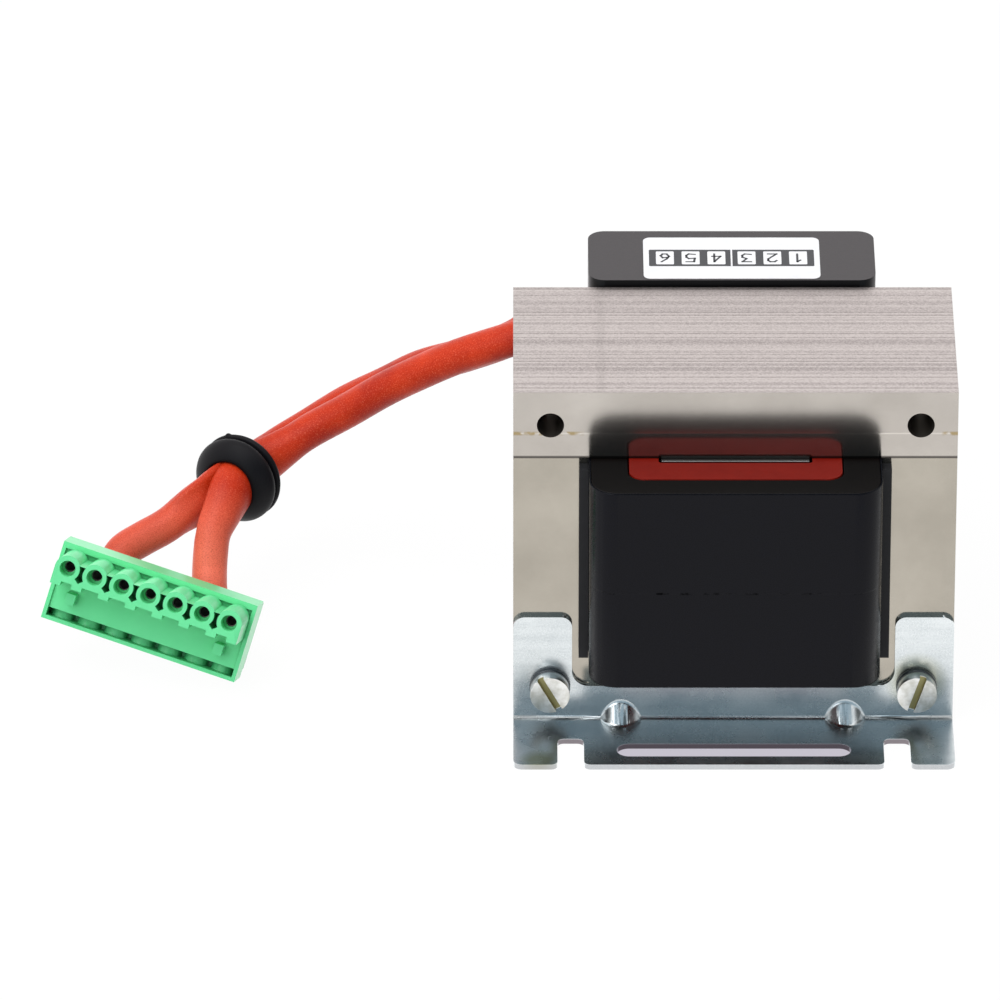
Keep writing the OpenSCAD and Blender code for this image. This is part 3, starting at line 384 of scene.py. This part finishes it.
height = add(tree, "ShaderNodeMath", {0: height.outputs[0], 1: slack.outputs["Fac"]}, operation="ADD")
bump = add(tree, "ShaderNodeBump", {"Strength": 0.5, "Distance": 0.12 * MM, "Height": height.outputs[0]})
skin = add(tree, "ShaderNodeBsdfPrincipled",
           {"Base Color": tone.outputs[2], "Roughness": haze.outputs["Result"],
            "Specular IOR Level": 0.08, "Normal": bump.outputs[0]})
dull = add(tree, "ShaderNodeBsdfDiffuse", {"Color": linear("040405")})
both = add(tree, "ShaderNodeMixShader", {0: fleck.outputs[0], 1: skin.outputs[0], 2: dull.outputs[0]})
tree.links.new(both.outputs[0], output.inputs["Surface"])
dress(["coil_wrap"], wrap, 0.25, 3)

# Window liners: black insulating sheet between the coil and the outer legs, with a
# bead that laps over the edge of the leg. Its fibres make a dull mottle of two millimetres.
liner, tree, place, output = material("vulcanised_fibre_black")
fibre = add(tree, "ShaderNodeTexNoise", {"Vector": place, "Scale": 1 / (2 * MM), "Detail": 3.0})
tone = add(tree, "ShaderNodeValToRGB", {0: fibre.outputs["Fac"]}, stops=((0, "0e0e10"), (1, "1c1c1f")))
skin = add(tree, "ShaderNodeBsdfPrincipled", {"Base Color": tone.outputs[0], "Roughness": 0.6,
                                              "Specular IOR Level": 0.25})
tree.links.new(skin.outputs[0], output.inputs["Surface"])
dress(["window_liner_left", "window_liner_right"], liner, 0.1)

# Feet: two brackets of one millimetre steel sheet, blanked and bent, then zinc
# plated. Their ears are clamped to the core and their feet stand on the table.
zinc, tree, place, output = material("zinc_plated_sheet_steel")
along = add(tree, "ShaderNodeSeparateXYZ", {0: place})
# Cloudy bloom of the plating, in patches of about seven millimetres
bloom = add(tree, "ShaderNodeTexNoise",
            {"Vector": place, "Scale": 1 / (7 * MM), "Detail": 6.0, "Roughness": 0.6})
# Rolling marks along the sheet, a millimetre and a half apart
rolled = add(tree, "ShaderNodeMapping",
             {"Vector": place, "Scale": (1 / (33 * MM), 1 / (1.5 * MM), 1 / (1.5 * MM))})
rolled = add(tree, "ShaderNodeTexNoise", {"Vector": rolled.outputs[0], "Scale": 1.0, "Detail": 3.0})
mottle = add(tree, "ShaderNodeMix", {0: 0.35, 2: bloom.outputs["Fac"], 3: rolled.outputs["Fac"]},
             data_type="FLOAT")
# Crystals of the plating, a third of a millimetre across
crystal = add(tree, "ShaderNodeTexNoise", {"Vector": place, "Scale": 1 / (0.33 * MM), "Detail": 2.0})
mottle = add(tree, "ShaderNodeMix", {0: 0.35, 2: mottle.outputs[0], 3: crystal.outputs["Fac"]},
             data_type="FLOAT")
tone = add(tree, "ShaderNodeValToRGB", {0: mottle.outputs[0]}, stops=((0.34, "a4a9ab"), (0.62, "bec2c3")))
# Yellow passivation is left near the outer edge of the front foot, on the left, and around
# the right clamp screw
FOOT_STAIN = Vector((-34.5, -36.0, 1)) * MM
SCREW_STAIN = Vector((32.5, -21.5, 8.5)) * MM
olive = add(tree, "ShaderNodeVectorMath", {0: place, 1: FOOT_STAIN}, operation="DISTANCE")
olive = add(tree, "ShaderNodeMapRange",
            {"Value": olive.outputs["Value"], "From Min": 1.5 * MM, "From Max": 4 * MM,
             "To Min": 0.7, "To Max": 0.0})
tone = add(tree, "ShaderNodeMix", {0: olive.outputs["Result"], 6: tone.outputs[0], 7: linear("7f7f58")},
           data_type="RGBA")
ring = add(tree, "ShaderNodeVectorMath", {0: place, 1: SCREW_STAIN}, operation="DISTANCE")
ring = add(tree, "ShaderNodeMapRange",
           {"Value": ring.outputs["Value"], "From Min": 3.5 * MM, "From Max": 6 * MM,
            "To Min": 0.45, "To Max": 0.0})
tone = add(tree, "ShaderNodeMix", {0: ring.outputs["Result"], 6: tone.outputs[2], 7: linear("85855e")},
           data_type="RGBA")
# The sheared edges, below the top of the sheet, are duller. The walls of the slot and the notches, inside the
# rim of the foot, face the shaded table: painted shade, a darker grey
SHEET_TOP_Z = 0.93 * MM
FOOT_RIM_Y = -36 * MM
turned = add(tree, "ShaderNodeSeparateXYZ", {0: add(tree, "ShaderNodeNewGeometry").outputs["Normal"]})
wall = add(tree, "ShaderNodeMath", {0: turned.outputs["Y"], 1: -0.5}, operation="LESS_THAN")
low = add(tree, "ShaderNodeMath", {0: along.outputs["Z"], 1: SHEET_TOP_Z}, operation="LESS_THAN")
inner = add(tree, "ShaderNodeMath", {0: along.outputs["Y"], 1: FOOT_RIM_Y}, operation="GREATER_THAN")
wall = add(tree, "ShaderNodeMath", {0: wall.outputs[0], 1: low.outputs[0]}, operation="MULTIPLY")
sheared = add(tree, "ShaderNodeMath", {0: wall.outputs[0], 1: 0.6}, operation="MULTIPLY")
tone = add(tree, "ShaderNodeMix", {0: sheared.outputs[0], 6: tone.outputs[2], 7: linear("8a8a8d")},
           data_type="RGBA")
wall = add(tree, "ShaderNodeMath", {0: wall.outputs[0], 1: inner.outputs[0]}, operation="MULTIPLY")
tone = add(tree, "ShaderNodeMix", {0: wall.outputs[0], 6: tone.outputs[2], 7: linear("6c666a")},
           data_type="RGBA")
rough = add(tree, "ShaderNodeMapRange", {"Value": bloom.outputs["Fac"], "From Min": 0.3, "From Max": 0.7,
                                         "To Min": 0.22, "To Max": 0.32})
bump = add(tree, "ShaderNodeBump", {"Strength": 0.3, "Distance": 0.03 * MM, "Height": mottle.outputs[0]})
skin = add(tree, "ShaderNodeBsdfPrincipled",
           {"Base Color": tone.outputs[2], "Metallic": 1.0, "Roughness": rough.outputs["Result"],
            "Normal": bump.outputs[0]})
tree.links.new(skin.outputs[0], output.inputs["Surface"])
dress(["front_bracket", "rear_bracket"], zinc, 0.05)

# The gussets run out softly into the sheet: a skin over each one, which follows the
# web and the foot and sinks into them at its rim.
GUSSET_X = 19.9
GUSSET_HALF = 3.6
GUSSET_RISE = 2.43
GUSSET_SOFT = 0.5
GUSSET_SPAN = 3.6
GUSSET_SINK = 0.03
GUSSET_GRID = 40
WEB_Y = 20.75
FOOT_Z = 1
for side_x in (-1, 1):
    for side_y in (-1, 1):
        points = []
        for i in range(GUSSET_GRID + 1):
            x = GUSSET_HALF * (2 * i / GUSSET_GRID - 1)
            rise = GUSSET_RISE * (1 - (x / GUSSET_HALF) ** 2) ** 0.75
            for j in range(GUSSET_GRID + 1):
                q = GUSSET_SPAN * (2 * j / GUSSET_GRID - 1)
                blend = max(GUSSET_SOFT - abs(abs(q) - rise), 0) ** 2 / (4 * GUSSET_SOFT)
                p = max(abs(q), rise) + blend - GUSSET_SINK
                out = (p - q) / math.sqrt(2)
                up = (p + q) / math.sqrt(2)
                points.append(Vector((side_x * GUSSET_X + x, side_y * (WEB_Y + out), FOOT_Z + up)) * MM)
        row = GUSSET_GRID + 1
        faces = [(i * row + j, (i + 1) * row + j, (i + 1) * row + j + 1, i * row + j + 1)
                 for i in range(GUSSET_GRID) for j in range(GUSSET_GRID)]
        if side_y > 0:
            faces = [face[::-1] for face in faces]
        gusset = mesh_piece("gusset_skin", points, faces)
        gusset.data.materials.append(zinc)
        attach(gusset, "root")

# Clamp screws with slotted cheese heads, spring washers and nuts: turned steel, zinc
# plated with a faint yellow cast, and worn in spots of a millimetre and a half.
plated, tree, place, output = material("turned_steel_zinc_plated")
wear = add(tree, "ShaderNodeTexNoise", {"Vector": place, "Scale": 1 / (1.67 * MM), "Detail": 4.0})
tone = add(tree, "ShaderNodeValToRGB", {0: wear.outputs["Fac"]}, stops=((0.35, "a8a7a0"), (0.6, "c8c8c6")))
# The passivation pools in the slots: inside the head's rim and behind its face
CLAMP_SCREW = Vector((32.5, 0, 7.5)) * MM
HEAD_RIM_R = 3.38 * MM
HEAD_FACE_Y = -24 * MM
STACK_FRONT_Y = -20 * MM
along = add(tree, "ShaderNodeSeparateXYZ", {0: place})
aside = add(tree, "ShaderNodeMath", {0: along.outputs["X"]}, operation="ABSOLUTE")
aside = add(tree, "ShaderNodeCombineXYZ", {"X": aside.outputs[0], "Z": along.outputs["Z"]})
rim = add(tree, "ShaderNodeVectorMath", {0: aside.outputs[0], 1: CLAMP_SCREW}, operation="DISTANCE")
rim = add(tree, "ShaderNodeMath", {0: rim.outputs["Value"], 1: HEAD_RIM_R}, operation="LESS_THAN")
deep = add(tree, "ShaderNodeMapRange", {"Value": along.outputs["Y"], "From Min": HEAD_FACE_Y - 0.1 * MM,
                                        "From Max": HEAD_FACE_Y + 0.1 * MM})
deep = add(tree, "ShaderNodeMath", {0: deep.outputs["Result"], 1: rim.outputs[0]}, operation="MULTIPLY")
head = add(tree, "ShaderNodeMath", {0: along.outputs["Y"], 1: STACK_FRONT_Y}, operation="LESS_THAN")
deep = add(tree, "ShaderNodeMath", {0: deep.outputs[0], 1: head.outputs[0]}, operation="MULTIPLY")
tone = add(tree, "ShaderNodeMix", {0: deep.outputs[0], 6: tone.outputs[0], 7: linear("7a7552")},
           data_type="RGBA")
skin = add(tree, "ShaderNodeBsdfPrincipled",
           {"Base Color": tone.outputs[2], "Metallic": 1.0, "Roughness": 0.3})
tree.links.new(skin.outputs[0], output.inputs["Surface"])
dress(["clamp_screws", "clamp_nuts", "connector_screws"], plated, 0.15)

# Spring steel of the lock washers: dark and dull, in patches of a millimetre and a half
spring, tree, place, output = material("spring_steel_dark")
wear = add(tree, "ShaderNodeTexNoise", {"Vector": place, "Scale": 1 / (1.43 * MM), "Detail": 3.0})
tone = add(tree, "ShaderNodeValToRGB", {0: wear.outputs["Fac"]}, stops=((0, "2f3235"), (1, "53565a")))
skin = add(tree, "ShaderNodeBsdfPrincipled",
           {"Base Color": tone.outputs[0], "Metallic": 1.0, "Roughness": 0.4})
tree.links.new(skin.outputs[0], output.inputs["Surface"])
dress(["lock_washers"], spring, 0.1)

# Terminal board and cover: moulded from black nylon with a fine matt grain. The
# cover hooks over two latches at the back of the board.
cover, tree, place, output = material("moulded_nylon_black_grained")
# Grain of a third of a millimetre
grain = add(tree, "ShaderNodeTexNoise", {"Vector": place, "Scale": 1 / (0.33 * MM), "Detail": 2.0})
tone = add(tree, "ShaderNodeValToRGB", {0: grain.outputs["Fac"]}, stops=((0, "1a1518"), (1, "2b2427")))
# Painted shade: the front wall, in the shade behind the stack, is painted nearly black
turned = add(tree, "ShaderNodeSeparateXYZ", {0: add(tree, "ShaderNodeNewGeometry").outputs["Normal"]})
shade = add(tree, "ShaderNodeMapRange", {"Value": turned.outputs["Y"], "From Min": -0.3, "From Max": -0.7})
tone = add(tree, "ShaderNodeMix", {0: shade.outputs["Result"], 6: tone.outputs[0], 7: linear("0a090a")},
           data_type="RGBA")
bump = add(tree, "ShaderNodeBump", {"Strength": 0.35, "Distance": 0.02 * MM, "Height": grain.outputs["Fac"]})
skin = add(tree, "ShaderNodeBsdfPrincipled", {"Base Color": tone.outputs[2], "Roughness": 0.4, "IOR": 1.53,
                                              "Specular IOR Level": 0.2, "Normal": bump.outputs[0]})
tree.links.new(skin.outputs[0], output.inputs["Surface"])
dress(["terminal_cover", "terminal_board"], cover, 0.35, 3)

# Solder tags and connector contacts: stamped brass, tinned. The tin has run unevenly, in
# patches of about a millimetre.
tin, tree, place, output = material("tinned_brass_stamped")
flow = add(tree, "ShaderNodeTexNoise", {"Vector": place, "Scale": 1 / (1.25 * MM), "Detail": 3.0})
tone = add(tree, "ShaderNodeValToRGB", {0: flow.outputs["Fac"]}, stops=((0, "4a4840"), (1, "75726a")))
skin = add(tree, "ShaderNodeBsdfPrincipled",
           {"Base Color": tone.outputs[0], "Metallic": 1.0, "Roughness": 0.35})
tree.links.new(skin.outputs[0], output.inputs["Surface"])
dress(["solder_tags", "connector_contacts"], tin)

# Label: printed polyester film on the cover, with a dark band that holds one plain
# number for each terminal. It is read from the terminals' side. The film is slightly
# soiled in patches of four millimetres.
film, tree, place, output = material("polyester_film_white")
dirt = add(tree, "ShaderNodeTexNoise", {"Vector": place, "Scale": 1 / (4 * MM), "Detail": 4.0})
tone = add(tree, "ShaderNodeValToRGB", {0: dirt.outputs["Fac"]}, stops=((0, "dcdde0"), (1, "f4f4f6")))
skin = add(tree, "ShaderNodeBsdfPrincipled", {"Base Color": tone.outputs[0], "Roughness": 0.4,
                                              "Specular IOR Level": 0.25})
tree.links.new(skin.outputs[0], output.inputs["Surface"])
# Screen ink: the mesh leaves faint marks, drawn half a millimetre wide so that they show
ink, tree, place, output = material("screen_ink_black")
mesh_marks = add(tree, "ShaderNodeTexNoise", {"Vector": place, "Scale": 1 / (0.5 * MM), "Detail": 2.0})
tone = add(tree, "ShaderNodeValToRGB", {0: mesh_marks.outputs["Fac"]}, stops=((0, "26262a"), (1, "38383c")))
skin = add(tree, "ShaderNodeBsdfPrincipled", {"Base Color": tone.outputs[0], "Roughness": 0.5,
                                              "Specular IOR Level": 0.25})
tree.links.new(skin.outputs[0], output.inputs["Surface"])
LABEL_LOW, LABEL_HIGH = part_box("rating_label")
LABEL_MID = (Vector(LABEL_LOW) + Vector(LABEL_HIGH)) / 2 / MM
LABEL_HALF = (Vector(LABEL_HIGH) - Vector(LABEL_LOW)) / 2 / MM
BOX_PITCH = 4.6
BOX_GAP = 5.4
BOX_HALF = (1.6, 2.5)
BAND_HALF = 3.2
BAND_INSET = 1.0
DIVIDER_HALF = 0.15
LABEL_CORNER_R = 1.3
DIGIT_GRID = 0.75
STROKE_HALF = 0.2
# Strokes of the digits 1 to 6 on a grid two wide and four high
DIGITS = (((0.5, 3.2, 1.2, 4), (1.2, 4, 1.2, 0)),
          ((0, 3.4, 0.5, 4), (0.5, 4, 1.5, 4), (1.5, 4, 2, 3.4), (2, 3.4, 2, 2.6), (2, 2.6, 0, 0),
           (0, 0, 2, 0)),
          ((0, 4, 2, 4), (2, 4, 1, 2.4), (1, 2.4, 2, 1.7), (2, 1.7, 2, 0.7), (2, 0.7, 1.4, 0),
           (1.4, 0, 0, 0.2)),
          ((1.5, 0, 1.5, 4), (1.5, 4, 0, 1.2), (0, 1.2, 2, 1.2)),
          ((2, 4, 0.2, 4), (0.2, 4, 0, 2.2), (0, 2.2, 1.4, 2.4), (1.4, 2.4, 2, 1.7), (2, 1.7, 2, 0.7),
           (2, 0.7, 1.4, 0), (1.4, 0, 0, 0.2)),
          ((1.8, 4, 0.6, 2.6), (0.6, 2.6, 0, 1.2), (0, 1.2, 0.6, 0), (0.6, 0, 1.5, 0), (1.5, 0, 2, 0.9),
           (2, 0.9, 1.5, 2), (1.5, 2, 0.3, 1.7)))


def printed(name, outlines, z, finish):
    """Flat printed shapes at one height on the label, each from its corners in millimetres."""
    points = []
    faces = []
    for outline in outlines:
        faces.append(tuple(range(len(points), len(points) + len(outline))))
        points += [(LABEL_MID + Vector((x, y, z))) * MM for x, y in outline]
    piece = mesh_piece(name, points, faces, False)
    piece.data.materials.append(finish)
    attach(piece, "root")
    return piece


def rounded(half_x, half_y, r):
    """Corners of a rectangle around the label's middle with round corners."""
    outline = []
    for sx, sy, first in ((1, 1, 0), (-1, 1, 90), (-1, -1, 180), (1, -1, 270)):
        for k in range(7):
            a = math.radians(first + 15 * k)
            outline.append((sx * (half_x - r) + r * math.cos(a), sy * (half_y - r) + r * math.sin(a)))
    return outline


def stroke(x0, y0, x1, y1, half):
    """Corners of a straight stroke from one place to another."""
    way = Vector((x1 - x0, y1 - y0)).normalized() * half
    side = Vector((-way.y, way.x))
    ends = (Vector((x0, y0)) - way, Vector((x1, y1)) + way)
    return [tuple(ends[0] - side), tuple(ends[1] - side), tuple(ends[1] + side), tuple(ends[0] + side)]


# The sheet itself, with its rim, then the band, the boxes on it and a number in each
rim = rounded(LABEL_HALF.x, LABEL_HALF.y, LABEL_CORNER_R)
count = len(rim)
points = [(LABEL_MID + Vector((x, y, z))) * MM for z in (-LABEL_HALF.z, LABEL_HALF.z - 0.03) for x, y in rim]
faces = [tuple(reversed(range(count))), tuple(range(count, 2 * count))]
faces += [(k, (k + 1) % count, count + (k + 1) % count, count + k) for k in range(count)]
sheet = mesh_piece("label_sheet", points, faces, False)
sheet.data.materials.append(film)
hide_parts("rating_label")
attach(sheet, "root")
TOP = LABEL_HALF.z
printed("label_band", [rounded(LABEL_HALF.x - BAND_INSET, BAND_HALF, 0.3)], TOP - 0.02, ink)
boxes = []
strokes = []
for k, digit in enumerate(DIGITS):
    middle = (BOX_GAP / 2 + BOX_PITCH * (2 - k)) if k < 3 else -(BOX_GAP / 2 + BOX_PITCH * (k - 3))
    boxes.append([(middle + x, y) for x, y in rounded(BOX_HALF[0], BOX_HALF[1], 0.25)])
    for x0, y0, x1, y1 in digit:
        ends = [(middle - DIGIT_GRID * (x - 1), -DIGIT_GRID * (y - 2)) for x, y in ((x0, y0), (x1, y1))]
        strokes.append(stroke(*ends[0], *ends[1], STROKE_HALF))
boxes.append([(x * DIVIDER_HALF, y * BAND_HALF) for x, y in ((-1, -1), (1, -1), (1, 1), (-1, 1))])
printed("label_boxes", boxes, TOP - 0.012, film)
printed("label_numbers", strokes, TOP - 0.004, ink)

# Sleeves: glass braid coated with red silicone, pulled over three wires each. They
# leave the cover on the left and are squeezed together by the grommet. The red varies
# slowly, over eight millimetres.
COVER_SIDE = -25.6
LEAD_Z = 56.2
FRONT_HOLD = (-88, 26.5, 23.4)
REAR_HOLD = (-90, 28.5, 22.4)
FRONT_ROUTE = [(COVER_SIDE + 4.5, 25, LEAD_Z), (COVER_SIDE - 2, 25, LEAD_Z),
               (-33, 25.5, 55), (-39, 26.2, 52.4), (-48.5, 28.6, 47.7), (-55.5, 30.9, 43.2), (-62, 33, 38.6),
               (-69, 34.7, 33.2), (-76, 34.9, 28.8), (-81.5, 33.2, 25.4), (-85.5, 30.5, 23.6), FRONT_HOLD,
               (-89.4, 23.2, 22.8), (-91.2, 19.5, 20.7), (-92.8, 16.8, 18.2), (-93.3, 14.7, 15.3),
               (-93.5, 12.9, 12.6), (-93.5, 11.1, 10.9), (-93.4, 9.9, 9.6)]
REAR_ROUTE = [(COVER_SIDE + 4.5, 31.5, LEAD_Z), (COVER_SIDE - 2, 31.5, LEAD_Z),
              (-33, 32, 54), (-39, 32.5, 49.3), (-47.5, 34.9, 44.6), (-55.5, 37.7, 40.6), (-62, 39.8, 36),
              (-69, 41.4, 31.4), (-76, 41.9, 26.3), (-81.5, 40.2, 23.4), (-85.5, 36.5, 22), (-88, 32.3, 22),
              REAR_HOLD, (-91.7, 25.8, 22.2), (-94, 23.6, 21.5), (-97, 22, 20.3), (-101.5, 20, 17.6),
              (-105.5, 17.9, 16.2), (-108.8, 15.8, 15), (-110.4, 13.8, 13.6)]
SLEEVE_D = 6.3
SLEEVE_WALL = 0.7
SQUEEZE = 0.46
SQUEEZE_NEAR = 5
SQUEEZE_FAR = 14
HOLD_R = 4.65
HOLD_HALF = (Vector(REAR_HOLD) - Vector(FRONT_HOLD)).length / 2
GROMMET_AT = (Vector(FRONT_HOLD) + Vector(REAR_HOLD)) / 2
ACROSS = Vector(REAR_HOLD) - Vector(FRONT_HOLD)

silicone, tree, place, output = material("silicone_coated_glass_braid_red")
tint = add(tree, "ShaderNodeTexNoise", {"Vector": place, "Scale": 1 / (8.33 * MM), "Detail": 3.0})
tone = add(tree, "ShaderNodeValToRGB", {0: tint.outputs["Fac"]}, stops=((0.3, "a62006"), (0.7, "cb3813")))
# Painted light: near the connector the sleeves are painted paler, standing in for brighter light there
LIT_SPOT_AT = Vector((-97, 5, 9)) * MM
lit_spot = add(tree, "ShaderNodeVectorMath", {0: place, 1: LIT_SPOT_AT}, operation="DISTANCE")
lit_spot = add(tree, "ShaderNodeMapRange",
           {"Value": lit_spot.outputs["Value"], "From Min": 10 * MM, "From Max": 24 * MM,
            "To Min": 0.9, "To Max": 0.0})
tone = add(tree, "ShaderNodeMix", {0: lit_spot.outputs["Result"], 6: tone.outputs[0], 7: linear("f0745c")},
           data_type="RGBA")
# Fibre ends of about a fifth of a millimetre show as light specks
specks = add(tree, "ShaderNodeTexNoise", {"Vector": place, "Scale": 1 / (0.2 * MM), "Detail": 2.0})
light = add(tree, "ShaderNodeMapRange", {"Value": specks.outputs["Fac"], "From Min": 0.55, "From Max": 0.8,
                                         "To Max": 0.4})
dark = add(tree, "ShaderNodeMapRange", {"Value": specks.outputs["Fac"], "From Min": 0.5, "From Max": 0.25,
                                        "To Max": 0.5})
tone = add(tree, "ShaderNodeMix", {0: dark.outputs["Result"], 6: tone.outputs[2], 7: linear("8f1a05")},
           data_type="RGBA")
tone = add(tree, "ShaderNodeMix", {0: light.outputs["Result"], 6: tone.outputs[2], 7: linear("f0896a")},
           data_type="RGBA")
bump = add(tree, "ShaderNodeBump", {"Strength": 0.5, "Distance": 0.06 * MM, "Height": specks.outputs["Fac"]})
skin = add(tree, "ShaderNodeBsdfPrincipled", {"Base Color": tone.outputs[2], "Roughness": 0.45, "IOR": 1.43,
                                              "Specular IOR Level": 0.22, "Normal": bump.outputs[0]})
tree.links.new(skin.outputs[0], output.inputs["Surface"])


def smooth_line(points, steps):
    """Points on a smooth curve through the given points."""
    ends = [2 * points[0] - points[1], *points, 2 * points[-1] - points[-2]]
    line = []
    for a, b, c, d in zip(ends, ends[1:], ends[2:], ends[3:]):
        for k in range(steps):
            t = k / steps
            line.append(0.5 * (2 * b + (c - a) * t + (2 * a - 5 * b + 4 * c - d) * t ** 2
                               + (3 * b - a - 3 * c + d) * t ** 3))
    return line + [points[-1]]


def roundness(p):
    """How round a sleeve is at a place: 0 in the grommet and 1 away from it."""
    share = ((p - GROMMET_AT).length - SQUEEZE_NEAR) / (SQUEEZE_FAR - SQUEEZE_NEAR)
    return max(0.0, min(1.0, share))


def squeezed(a, side):
    """How far a squeezed sleeve reaches at an angle: flat against the other, round to the bore."""
    toward = side * math.cos(a)
    reach = HOLD_HALF * toward + math.sqrt(HOLD_R ** 2 - (HOLD_HALF * math.sin(a)) ** 2)
    return min(reach, SQUEEZE * SLEEVE_D / 2 / toward) if toward > 0.1 else reach


def tube(name, line, radius, sides, side, wall):
    """A tube around a line, squeezed against its neighbour in the grommet and hollow at its last end."""
    rings = []
    for i, p in enumerate(line):
        t = (line[min(i + 1, len(line) - 1)] - line[max(i - 1, 0)]).normalized()
        u = (ACROSS - ACROSS.dot(t) * t).normalized()
        share = roundness(p)
        rings.append([(p, share * radius + (1 - share) * squeezed(2 * math.pi * k / sides, side),
                       math.cos(2 * math.pi * k / sides) * u + math.sin(2 * math.pi * k / sides) * t.cross(u))
                      for k in range(sides)])
    t = (line[-1] - line[-2]).normalized()
    rings.append([(p, r - wall, way) for p, r, way in rings[-1]])
    rings.append([(p - 2 * wall * t, r, way) for p, r, way in rings[-1]])
    points = [(p + r * way) * MM for ring in rings for p, r, way in ring]
    faces = [(i * sides + k, (i + 1) * sides + k, (i + 1) * sides + (k + 1) % sides,
              i * sides + (k + 1) % sides)
             for i in range(len(rings) - 1) for k in range(sides)]
    last = (len(rings) - 1) * sides
    faces += [tuple(range(sides)), tuple(last + k for k in reversed(range(sides)))]
    return mesh_piece(name, points, faces)


for node, route, side in (("lead_sleeve_front", FRONT_ROUTE, 1), ("lead_sleeve_rear", REAR_ROUTE, -1)):
    line = smooth_line([Vector(p) for p in route], 6)
    sleeve = tube(node + "_braid", line, SLEEVE_D / 2, 48, side, SLEEVE_WALL)
    sleeve.data.materials.append(silicone)
    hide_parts(node)
    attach(sleeve, "root")

# Wires: three thin insulated wires come out of each sleeve and go into the clamps
# at the back of the connector. Inside the cover they end on the solder tags. The
# insulation is grey and smooth, with faint flow marks of a millimetre.
pvc, tree, place, output = material("extruded_insulation_grey")
flow = add(tree, "ShaderNodeTexNoise", {"Vector": place, "Scale": 1 / (1.11 * MM), "Detail": 2.0})
tone = add(tree, "ShaderNodeValToRGB", {0: flow.outputs["Fac"]}, stops=((0, "c9c5bd"), (1, "e4e1da")))
skin = add(tree, "ShaderNodeBsdfPrincipled", {"Base Color": tone.outputs[0], "Roughness": 0.4})
tree.links.new(skin.outputs[0], output.inputs["Surface"])
dress(["lead_wires", "tag_wires"], pvc)

# Grommet: a moulded rubber ring with a groove, meant for a panel hole, slipped over
# both sleeves. Its front is a dome, and a nib is left where it was cut from the mould. The
# rubber is dull, with a bloom in patches of three millimetres.
GROMMET_TURN = Euler((math.radians(88), 0, math.radians(-28)))
GROMMET_PROFILE = [(4.75, -2.5), (4.95, -2.7), (5.4, -2.8), (7.3, -2.8), (7.8, -2.6), (8.0, -2.2),
                   (7.9, -1.8), (7.6, -1.6), (6.7, -1.6), (6.5, -1.45), (6.5, -0.75), (6.7, -0.6),
                   (7.6, -0.6), (7.9, -0.45), (8.0, -0.1), (7.95, 0.3), (7.7, 0.85), (7.3, 1.35),
                   (6.75, 1.9), (6.1, 2.35), (5.5, 2.65), (5.0, 2.8), (4.7, 2.7), (4.55, 2.4),
                   (4.7, 1.8)]
NIB_TURN = math.radians(111)
NIB_H = 0.35
NIB_WIDTH = 0.05
RIM_R = 7.7
SEGMENTS = 144
turn = GROMMET_TURN.to_matrix()
points = []
for k in range(SEGMENTS):
    a = 2 * math.pi * k / SEGMENTS
    nib = NIB_H * math.exp(-((a - NIB_TURN) / NIB_WIDTH) ** 2)
    for r, h in GROMMET_PROFILE:
        r += nib if r > RIM_R and h < -1 else 0
        points.append((GROMMET_AT + turn @ Vector((r * math.cos(a), r * math.sin(a), h))) * MM)
count = len(GROMMET_PROFILE)
faces = [(k * count + i, (k + 1) % SEGMENTS * count + i, (k + 1) % SEGMENTS * count + (i + 1) % count,
          k * count + (i + 1) % count) for k in range(SEGMENTS) for i in range(count)]
ring = mesh_piece("grommet_rubber", points, faces)
rubber, tree, place, output = material("moulded_rubber_black")
bloom = add(tree, "ShaderNodeTexNoise", {"Vector": place, "Scale": 1 / (3.33 * MM), "Detail": 4.0})
tone = add(tree, "ShaderNodeValToRGB", {0: bloom.outputs["Fac"]}, stops=((0, "070609"), (1, "0f0d11")))
rough = add(tree, "ShaderNodeMapRange", {"Value": bloom.outputs["Fac"], "To Min": 0.4, "To Max": 0.6})
skin = add(tree, "ShaderNodeBsdfPrincipled",
           {"Base Color": tone.outputs[0], "Roughness": rough.outputs["Result"],
            "IOR": 1.52, "Specular IOR Level": 0.09})
tree.links.new(skin.outputs[0], output.inputs["Surface"])
ring.data.materials.append(rubber)
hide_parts("grommet")
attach(ring, "root")

# Connector: a seven-pole plug moulded from bright green nylon, with a boss for each
# pole, and screw clamps that hold the wires. It is glossy, with flow marks of four
# millimetres.
green, tree, place, output = material("moulded_nylon_green")
flow = add(tree, "ShaderNodeTexNoise", {"Vector": place, "Scale": 1 / (3.85 * MM), "Detail": 3.0})
tone = add(tree, "ShaderNodeValToRGB", {0: flow.outputs["Fac"]}, stops=((0, "5dd58f"), (1, "6ee09e")))
# Painted shade: crevices and holes of two millimetres are painted darker green by ambient occlusion
crevice = add(tree, "ShaderNodeAmbientOcclusion", {"Distance": 2.0 * MM}, samples=8)
crevice = add(tree, "ShaderNodeMapRange",
              {"Value": crevice.outputs["AO"], "From Min": 0.15, "From Max": 0.75})
tone = add(tree, "ShaderNodeMix", {0: crevice.outputs["Result"], 6: linear("2c9157"), 7: tone.outputs[0]},
           data_type="RGBA")
bump = add(tree, "ShaderNodeBump", {"Strength": 0.15, "Distance": 0.03 * MM, "Height": flow.outputs["Fac"]})
skin = add(tree, "ShaderNodeBsdfPrincipled", {"Base Color": tone.outputs[2], "Roughness": 0.35, "IOR": 1.53,
                                              "Specular IOR Level": 0.3, "Normal": bump.outputs[0]})
tree.links.new(skin.outputs[0], output.inputs["Surface"])
dress(["connector_housing"], green, 0.12)
